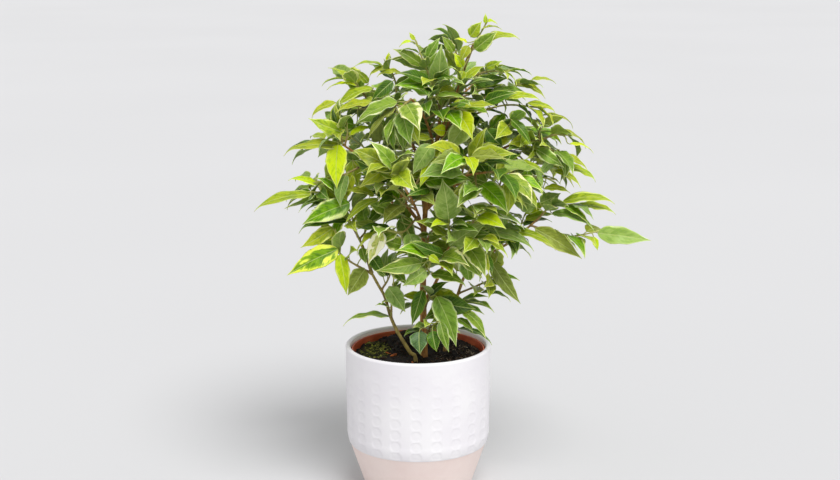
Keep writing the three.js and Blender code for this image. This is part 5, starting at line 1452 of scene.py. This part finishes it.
def stems():
    barks = {
        "trunk": bark_material("bark_trunk", 0xC48E4A, 0x8E602E, 0x5C3A1C),
        "left_stem": bark_material("bark_left_stem", 0xA6964E, 0x7E703A, 0x5C4E2A),
        "right_stem": bark_material("bark_right_stem", 0xBA9A56, 0x886636, 0x5E4424),
    }
    for name, stem in STEMS.items():
        shape = Shape()
        for i, limb in enumerate([name, *stem["branches"]]):
            fine_limb(shape, limb, limb == name, i)
        shape.piece("wood_" + name, [barks[name]], name)


# Pots

COVER_HEIGHT, COVER_RIM_RADIUS, COVER_KNEE_RADIUS, COVER_KNEE_Z = 140, 68, 67.1, 52
COVER_BASE_RADIUS, COVER_WALL, COVER_FLOOR = 49.5, 4.5, 6
DIMPLE_COLUMNS, DIMPLE_ROWS, DIMPLE_TOP_Z, DIMPLE_PITCH = 22, 9, 134.5, 10.55
DIMPLE_RADII, DIMPLE_DEPTHS, DIMPLE_FIRST_ANGLE = (4.3, 5.3), (0.03, 0.42), -1.6
DIMPLE_EDGE = (1.06, 0.88)
GLAZE_Z, GLAZE_STEP, GLAZE_FEATHER = 46.5, 0.35, 0.9
SCALLOP_SHIFT, SCALLOP_SHARE, SCALLOP_REACH = 1.2, 0.9, 3
KNEE_BLEND, KNEE_ROUNDING = 5, 1.25
FOOT_ROUNDING, FOOT_ARC, FOOT_FLAT, AXIS_RADIUS = 1.5, (-90, -10, 6), 8, 0.01
HALF_TURN, RIM_STEPS, WALL_LEVELS = (0, 180), 14, 24
INSIDE_TAPER, INSIDE_KNEE, INSIDE_CHAMFER = 1, 6, 3
# Where up the map the bare foot ends and the glazed wall ends
FOOT_MAP_END, GLAZE_MAP_END = 0.3, 0.8
WALL_COLUMNS, WALL_PITCH = 484, 0.88
NURSERY_HEIGHT, NURSERY_RIM_RADIUS, NURSERY_BASE_RADIUS = 129.7, 62.5, 44
NURSERY_WALL, NURSERY_LIP, NURSERY_LIP_HEIGHT = 1.5, 1.2, 9
NURSERY_FOOT_ROUNDING, NURSERY_FOOT_ARC, NURSERY_LEVELS, NURSERY_SIDE_FROM = 2, (-90, -8, 6), 16, 3
NURSERY_RIM_ROUNDING, NURSERY_RIM_STEPS, NURSERY_LIP_EDGE = 0.8, 9, ((0.3, 0.5), (0, 1.2))
POT_COLUMNS = 120


def cover_wall_radius(z):
    slope = (COVER_KNEE_RADIUS - COVER_BASE_RADIUS) / COVER_KNEE_Z
    upper = mix(COVER_KNEE_RADIUS, COVER_RIM_RADIUS, (z - COVER_KNEE_Z) / (COVER_HEIGHT - COVER_KNEE_Z))
    lower = COVER_BASE_RADIUS + slope * z
    blend = np.clip(0.5 + (lower - upper) / KNEE_BLEND, 0, 1)
    return lower * (1 - blend) + upper * blend - KNEE_ROUNDING * blend * (1 - blend)


def dimple_depth(angle, z):
    """How far the wall is pressed in: a round dish in each place of the pattern, deeper further down."""
    turn = 360 / DIMPLE_COLUMNS
    column = (np.degrees(angle) - DIMPLE_FIRST_ANGLE) / turn
    across = np.radians((column - np.round(column)) * turn) * COVER_RIM_RADIUS
    row = np.clip(np.round((DIMPLE_TOP_Z - z) / DIMPLE_PITCH), 0, DIMPLE_ROWS - 1)
    up = z - (DIMPLE_TOP_Z - DIMPLE_PITCH * row)
    share = row / (DIMPLE_ROWS - 1)
    radius = mix(*DIMPLE_RADII, share)
    depth = mix(*DIMPLE_DEPTHS, share)
    off = np.hypot(across, up) / radius
    return depth * smooth_step(*DIMPLE_EDGE, off)


def add_turned(shape, profile, columns, slot=0, low=(0, 0), high=(1, 1), pressed=None):
    """Adds a profile turned round Z. One that starts or ends at the axis is closed there."""
    profile = np.asarray(profile, float)
    rows = len(profile)
    angle = np.linspace(0, 2 * np.pi, columns, endpoint=False)
    points = np.stack([profile[:, :1] * np.sin(angle), -profile[:, :1] * np.cos(angle),
                       np.repeat(profile[:, 1:], columns, 1)], -1).reshape(-1, 3)
    if pressed:
        points = pressed(points)
    shape.add(points, grid_quads(rows, columns, closed=True), slot, grid_map(rows, columns + 1, low, high))


def arc(centre, radius, start, end, steps):
    """Points of an arc in the plane of a profile, between two angles in degrees."""
    a = np.radians(np.linspace(start, end, steps))
    return [(centre[0] + radius * math.cos(x), centre[1] + radius * math.sin(x)) for x in a]


def press_dimples(points):
    """Presses the dimples into the wall. Where the glaze ends, they draw its edge into scallops."""
    radius = np.hypot(points[:, 0], points[:, 1])
    angle = np.arctan2(points[:, 0], -points[:, 1])
    z = points[:, 2]
    outside = radius > COVER_RIM_RADIUS - COVER_WALL / 2
    depth = np.where(outside, dimple_depth(angle, z), 0)
    scallop = np.where(outside, dimple_depth(angle, z + SCALLOP_SHIFT), 0) * SCALLOP_SHARE
    points = points * np.stack([(radius - depth) / radius] * 2 + [np.ones_like(z)], 1)
    points[:, 2] += scallop * smooth_step(GLAZE_Z + SCALLOP_REACH, GLAZE_Z, z)
    return points


def cover_pot():
    """The ceramic cover pot: a bare foot, a glazed wall with dimples, a round rim and a plain inside, glazed
    whiter than the wall as painted light in the crown's shade.
    """
    shape = Shape()
    foot_levels = np.linspace(FOOT_ROUNDING, GLAZE_Z, WALL_LEVELS)
    foot = [(AXIS_RADIUS, 0), (COVER_BASE_RADIUS - FOOT_FLAT, 0)]
    foot += arc((COVER_BASE_RADIUS - FOOT_ROUNDING, FOOT_ROUNDING), FOOT_ROUNDING, *FOOT_ARC)
    foot += [(cover_wall_radius(z) - GLAZE_STEP, z) for z in foot_levels[1:]]
    top = COVER_HEIGHT - COVER_WALL / 2
    levels = np.arange(GLAZE_Z, top, WALL_PITCH)
    inner = COVER_RIM_RADIUS - COVER_WALL
    glazed = [(cover_wall_radius(GLAZE_Z) - GLAZE_STEP, GLAZE_Z)]
    glazed += [(cover_wall_radius(z) - GLAZE_STEP * (1 - smooth_step(0, GLAZE_FEATHER, z - GLAZE_Z)), z)
               for z in levels[1:]]
    rim = arc((COVER_RIM_RADIUS - COVER_WALL / 2, top), COVER_WALL / 2, *HALF_TURN, RIM_STEPS)
    inside = [(mix(inner, inner - INSIDE_TAPER, s), mix(top, COVER_KNEE_Z + INSIDE_KNEE, s))
              for s in np.linspace(0, 1, WALL_LEVELS)[1:]]
    inside += [(COVER_BASE_RADIUS - COVER_WALL, COVER_FLOOR + INSIDE_CHAMFER),
               (COVER_BASE_RADIUS - COVER_WALL - INSIDE_CHAMFER, COVER_FLOOR), (AXIS_RADIUS, COVER_FLOOR)]

    add_turned(shape, foot, WALL_COLUMNS, 1, (0, 0), (1, FOOT_MAP_END), press_dimples)
    add_turned(shape, [*glazed, *rim], WALL_COLUMNS, 0, (0, FOOT_MAP_END), (1, GLAZE_MAP_END), press_dimples)
    add_turned(shape, [rim[-1], *inside], WALL_COLUMNS, 2, (0, GLAZE_MAP_END), (1, 1))
    glaze = glaze_material("white_glaze", 0xE6E3E7, 0xEBE9EB)
    # The inside gets a whiter copy of the wall's glaze: painted light where the crown shades the inside of
    # the pot.
    painted_light_inner_glaze = glaze_material("painted_light_inner_glaze", 0xFAF3EE, 0xFCF8F4)
    coats = [glaze, clay_material(), painted_light_inner_glaze]
    shape.piece("dimpled_cover_pot", coats, "cover_pot", welded=True)


def nursery_pot():
    floor = COVER_FLOOR + GAP
    top = floor + NURSERY_HEIGHT
    lip_foot = top - NURSERY_LIP_HEIGHT
    shoulder = NURSERY_RIM_RADIUS - NURSERY_LIP
    r = NURSERY_FOOT_ROUNDING
    outside = [(AXIS_RADIUS, floor), *arc((NURSERY_BASE_RADIUS - r, floor + r), r, *NURSERY_FOOT_ARC)]
    outside += [(mix(NURSERY_BASE_RADIUS, shoulder, s), mix(floor + NURSERY_SIDE_FROM, lip_foot, s))
                for s in np.linspace(0, 1, NURSERY_LEVELS)]
    outside += [(NURSERY_RIM_RADIUS - back, lip_foot + rise) for back, rise in NURSERY_LIP_EDGE]
    r = NURSERY_RIM_ROUNDING
    rim = arc((NURSERY_RIM_RADIUS - r, top - r), r, *HALF_TURN, NURSERY_RIM_STEPS)
    inside = [(shoulder - NURSERY_WALL, lip_foot),
              (NURSERY_BASE_RADIUS - NURSERY_WALL, floor + NURSERY_WALL),
              (AXIS_RADIUS, floor + NURSERY_WALL)]
    shape = Shape()
    add_turned(shape, [*outside, *rim, *inside], POT_COLUMNS)
    shape.piece("nursery_pot_shell", [plastic_material()], "nursery_pot", welded=True)


# Soil

SOIL_LEVEL, SOIL_RISE, SOIL_BUMP = 129, 3, 1.6
SOIL_RINGS, SOIL_COLUMNS, SOIL_EDGE = 60, 180, 2
BROAD_WAVES, CROSS_WAVES, CROSS_SHARE = (0.21, 0.17), (0.09, 0.24), 0.6
MOUND, MOUND_HEIGHT, MOUND_SPREAD = (-6, 34), 9, 15
CLODS, CLOD_SCALE, CLOD_LAYER, CLOD_FRACTAL = 0.9, 0.22, 3, (0.8, 2.1, 4)
CRUMBS, CRUMB_SIZES, CRUMB_SHRINK, CRUMB_FORM = 950, (0.5, 2.1), 2.2, (1, 0.8, 0.7)
CRUMB_EDGE, CRUMB_LIFT = 1.5, 0.35
LUMP_RINGS, LUMP_SIDES, LUMP_SPREAD, LUMP_TILT = 5, 7, (0.7, 1.25), 0.5
# Strands on the soil: their middle, their reach either way, their number and the length of the longest
MOSS = ((-44, 8), (17, 24), 420, 6)
ROOTS = ((38, -2), (22, 30), 110, 8)
STRAND_POINTS, STRAND_RADII, STRAND_SWAY, STRAND_RISE, STRAND_EDGE = 5, (0.22, 0.1), 0.8, (0.4, 2.2), 5
STRAND_SIDES, SHORTEST_STRAND, STRAND_ARCH = 4, 2, 0.8
# Chips of bark on the soil: where they lie, their length and their width
CHIP_PLACES = [(-23, -5, 9, 3.4), (-28, -1, 6, 2.6), (-5, -24, 5, 2.2)]
CHIP_THICKNESS, CHIP_LIFT = 0.25, 0.9


def soil_height(x, y):
    broad = math.sin(x * BROAD_WAVES[0] + 1) * math.cos(y * BROAD_WAVES[1])
    clods = broad + CROSS_SHARE * math.sin(x * CROSS_WAVES[0] - y * CROSS_WAVES[1])
    off = math.hypot(x - MOUND[0], y - MOUND[1]) / MOUND_SPREAD
    mound = MOUND_HEIGHT * math.exp(-off * off / 2)
    return SOIL_LEVEL + SOIL_RISE * y / NURSERY_RIM_RADIUS + SOIL_BUMP * clods + mound


def fine_soil_height(x, y):
    """The solid model's soil with crumbly clods on it."""
    crumb = noise.fractal(Vector((x * CLOD_SCALE, y * CLOD_SCALE, CLOD_LAYER)), *CLOD_FRACTAL)
    return soil_height(x, y) + CLODS * crumb


def soil():
    reach = NURSERY_RIM_RADIUS - NURSERY_LIP - NURSERY_WALL - 2 * GAP
    foot = NURSERY_BASE_RADIUS - NURSERY_WALL - 2 * GAP
    low = COVER_FLOOR + GAP + NURSERY_WALL + GAP
    lip_foot = COVER_FLOOR + GAP + NURSERY_HEIGHT - NURSERY_LIP_HEIGHT
    side = [(AXIS_RADIUS, low), (foot, low), (reach, lip_foot), (reach, SOIL_LEVEL - SOIL_EDGE)]
    surface = [(max(reach * s, AXIS_RADIUS), SOIL_LEVEL) for s in np.linspace(1, 0, SOIL_RINGS)]
    shape = Shape()

    def raised(points):
        for p in points:
            if p[2] > SOIL_LEVEL - GAP:
                p[2] = fine_soil_height(p[0], p[1])
        return points

    add_turned(shape, [*side, *surface], SOIL_COLUMNS, pressed=raised)
    shape.piece("potting_soil", [soil_material()], "soil", welded=True)
    crumbs(reach)
    strands("moss_fibres", *MOSS, crumb_material("moss", 0x3A4412, 0xC0C456, 0.48), seeded_draw(MOSS_SEED))
    strands("root_strands", *ROOTS, crumb_material("roots", 0x4A3826, 0xB8A68C, 0.5), seeded_draw(ROOT_SEED))
    chips()


def lump(shape, centre, size, draw, stretch):
    """A small uneven lump: a coarse ball whose points are pushed in and out."""
    turn = 2 * math.pi * draw()
    points = []
    for i in range(LUMP_RINGS):
        rise = math.pi * (i + 0.5) / LUMP_RINGS - math.pi / 2
        for k in range(LUMP_SIDES):
            angle = turn + 2 * math.pi * k / LUMP_SIDES
            reach = size * mix(*LUMP_SPREAD, draw())
            points.append([reach * stretch[0] * math.cos(rise) * math.cos(angle),
                           reach * stretch[1] * math.cos(rise) * math.sin(angle),
                           reach * stretch[2] * math.sin(rise)])
    x, y, z = np.array(points).T
    tilt = mix(-LUMP_TILT, LUMP_TILT, draw())
    heading = 2 * math.pi * draw()
    c, s = math.cos(heading), math.sin(heading)
    turned = np.stack([x * c - y * s, x * s + y * c, z + x * tilt], 1)
    ends = np.array([turned[:LUMP_SIDES].mean(0), turned[-LUMP_SIDES:].mean(0)])
    ring, last = np.arange(LUMP_SIDES), len(turned)
    shape.add(np.vstack([turned, ends]) + centre,
              np.vstack([grid_quads(LUMP_RINGS, LUMP_SIDES, closed=True), fan(last, ring, turned=True),
                         fan(last + 1, last - LUMP_SIDES + ring)]))


def crumbs(reach):
    draw = seeded_draw(CRUMB_SEED)
    shape = Shape()
    for _ in range(CRUMBS):
        radius, angle = (reach - CRUMB_EDGE) * math.sqrt(draw()), 2 * math.pi * draw()
        x, y = radius * math.cos(angle), radius * math.sin(angle)
        size = mix(*CRUMB_SIZES, draw() ** CRUMB_SHRINK)
        centre = np.array([x, y, fine_soil_height(x, y) + size * CRUMB_LIFT])
        lump(shape, centre, size, draw, CRUMB_FORM)
    shape.piece("soil_crumbs", [crumb_material("crumbs", 0x0C0805, 0x3A2818)])


def strands(name, middle, spread, count, longest, material, draw):
    """Fine strands that lie on the soil around a place."""
    shape = Shape()
    for i in range(count):
        off, angle = math.sqrt(draw()), 2 * math.pi * draw()
        x = middle[0] + spread[0] * off * math.cos(angle)
        y = middle[1] + spread[1] * off * math.sin(angle)
        heading, length = 2 * math.pi * draw(), mix(SHORTEST_STRAND, longest, draw())
        s = np.linspace(0, 1, STRAND_POINTS)
        way = np.array([math.cos(heading), math.sin(heading)])
        rise = mix(*STRAND_RISE, draw())
        sway = mix(-1, 1, draw()) * STRAND_SWAY
        xs = x + way[0] * length * s - way[1] * sway * np.sin(np.pi * s)
        ys = y + way[1] * length * s + way[0] * sway * np.sin(np.pi * s)
        if np.hypot(xs, ys).max() > NURSERY_RIM_RADIUS - STRAND_EDGE:
            continue
        zs = [fine_soil_height(px, py) for px, py in zip(xs, ys)]
        points = np.stack([xs, ys, np.array(zs) + rise * np.sin(np.pi * s * STRAND_ARCH)], 1)
        shades = np.full(len(s), i / count)
        add_tube(shape, points, mix(*STRAND_RADII, s), STRAND_SIDES, 0, (0, 0), (1, 1), shades)
    shape.piece(name, [material])


def chips():
    """Bits of orange-brown bark on the soil."""
    draw = seeded_draw(CHIP_SEED)
    shape = Shape()
    for x, y, length, width in CHIP_PLACES:
        centre = np.array([x, y, fine_soil_height(x, y) + CHIP_LIFT])
        lump(shape, centre, length / 2, draw, (1, width / length, CHIP_THICKNESS))
    shape.piece("bark_chips", [crumb_material("chips", 0x8A4418, 0xC46E2E)])


# Camera, light and floor

# The camera's place in millimetres, how far it looks down in degrees, its focal length in pixels of the
# picture's width, its sensor's width in millimetres and how far it sees in metres
CAMERA_PLACE, CAMERA_DROP, FOCAL_PIXELS, FRAME_WIDTH = (1.8, -1300, 517.7), 12.1, 1438, 840
SENSOR, SIGHT = 36, 200


def camera():
    data = bpy.data.cameras.new("camera")
    data.sensor_width = SENSOR
    data.lens = SENSOR * FOCAL_PIXELS / FRAME_WIDTH
    data.clip_end = SIGHT
    made = linked("camera", data)
    made.location = Vector(CAMERA_PLACE) * MM
    made.rotation_euler = (math.radians(90 - CAMERA_DROP), 0, 0)
    bpy.context.scene.camera = made


SUN_WAY, SUN_ANGLE, SUN_STRENGTH = (-0.32, 0.66, -1.15), 34, 2.6
SKY_COLOUR, SKY_STRENGTH = 0xF7F7F8, 0.68


def light():
    data = bpy.data.lights.new("sun", "SUN")
    data.energy = SUN_STRENGTH
    data.angle = math.radians(SUN_ANGLE)
    made = linked("sun", data)
    made.rotation_mode = "QUATERNION"
    made.rotation_quaternion = Vector(SUN_WAY).to_track_quat("-Z", "Y")
    world = bpy.data.worlds.new("studio")
    world.use_nodes = True
    sky = world.node_tree.nodes["Background"].inputs
    sky["Color"].default_value = to_linear(SKY_COLOUR)
    sky["Strength"].default_value = SKY_STRENGTH
    bpy.context.scene.world = world
    bpy.context.scene.view_settings.view_transform = "Standard"


FLOOR_REACH = 60


def floor():
    mesh = bpy.data.meshes.new("floor")
    corners = [(x * FLOOR_REACH, y * FLOOR_REACH, 0) for x, y in ((-1, -1), (1, -1), (1, 1), (-1, 1))]
    mesh.from_pydata(corners, [], [(0, 1, 2, 3)])
    mesh.materials.append(floor_material())
    linked("floor", mesh)


camera()
light()
floor()
cover_pot()
nursery_pot()
soil()
stems()
leafy_crown()
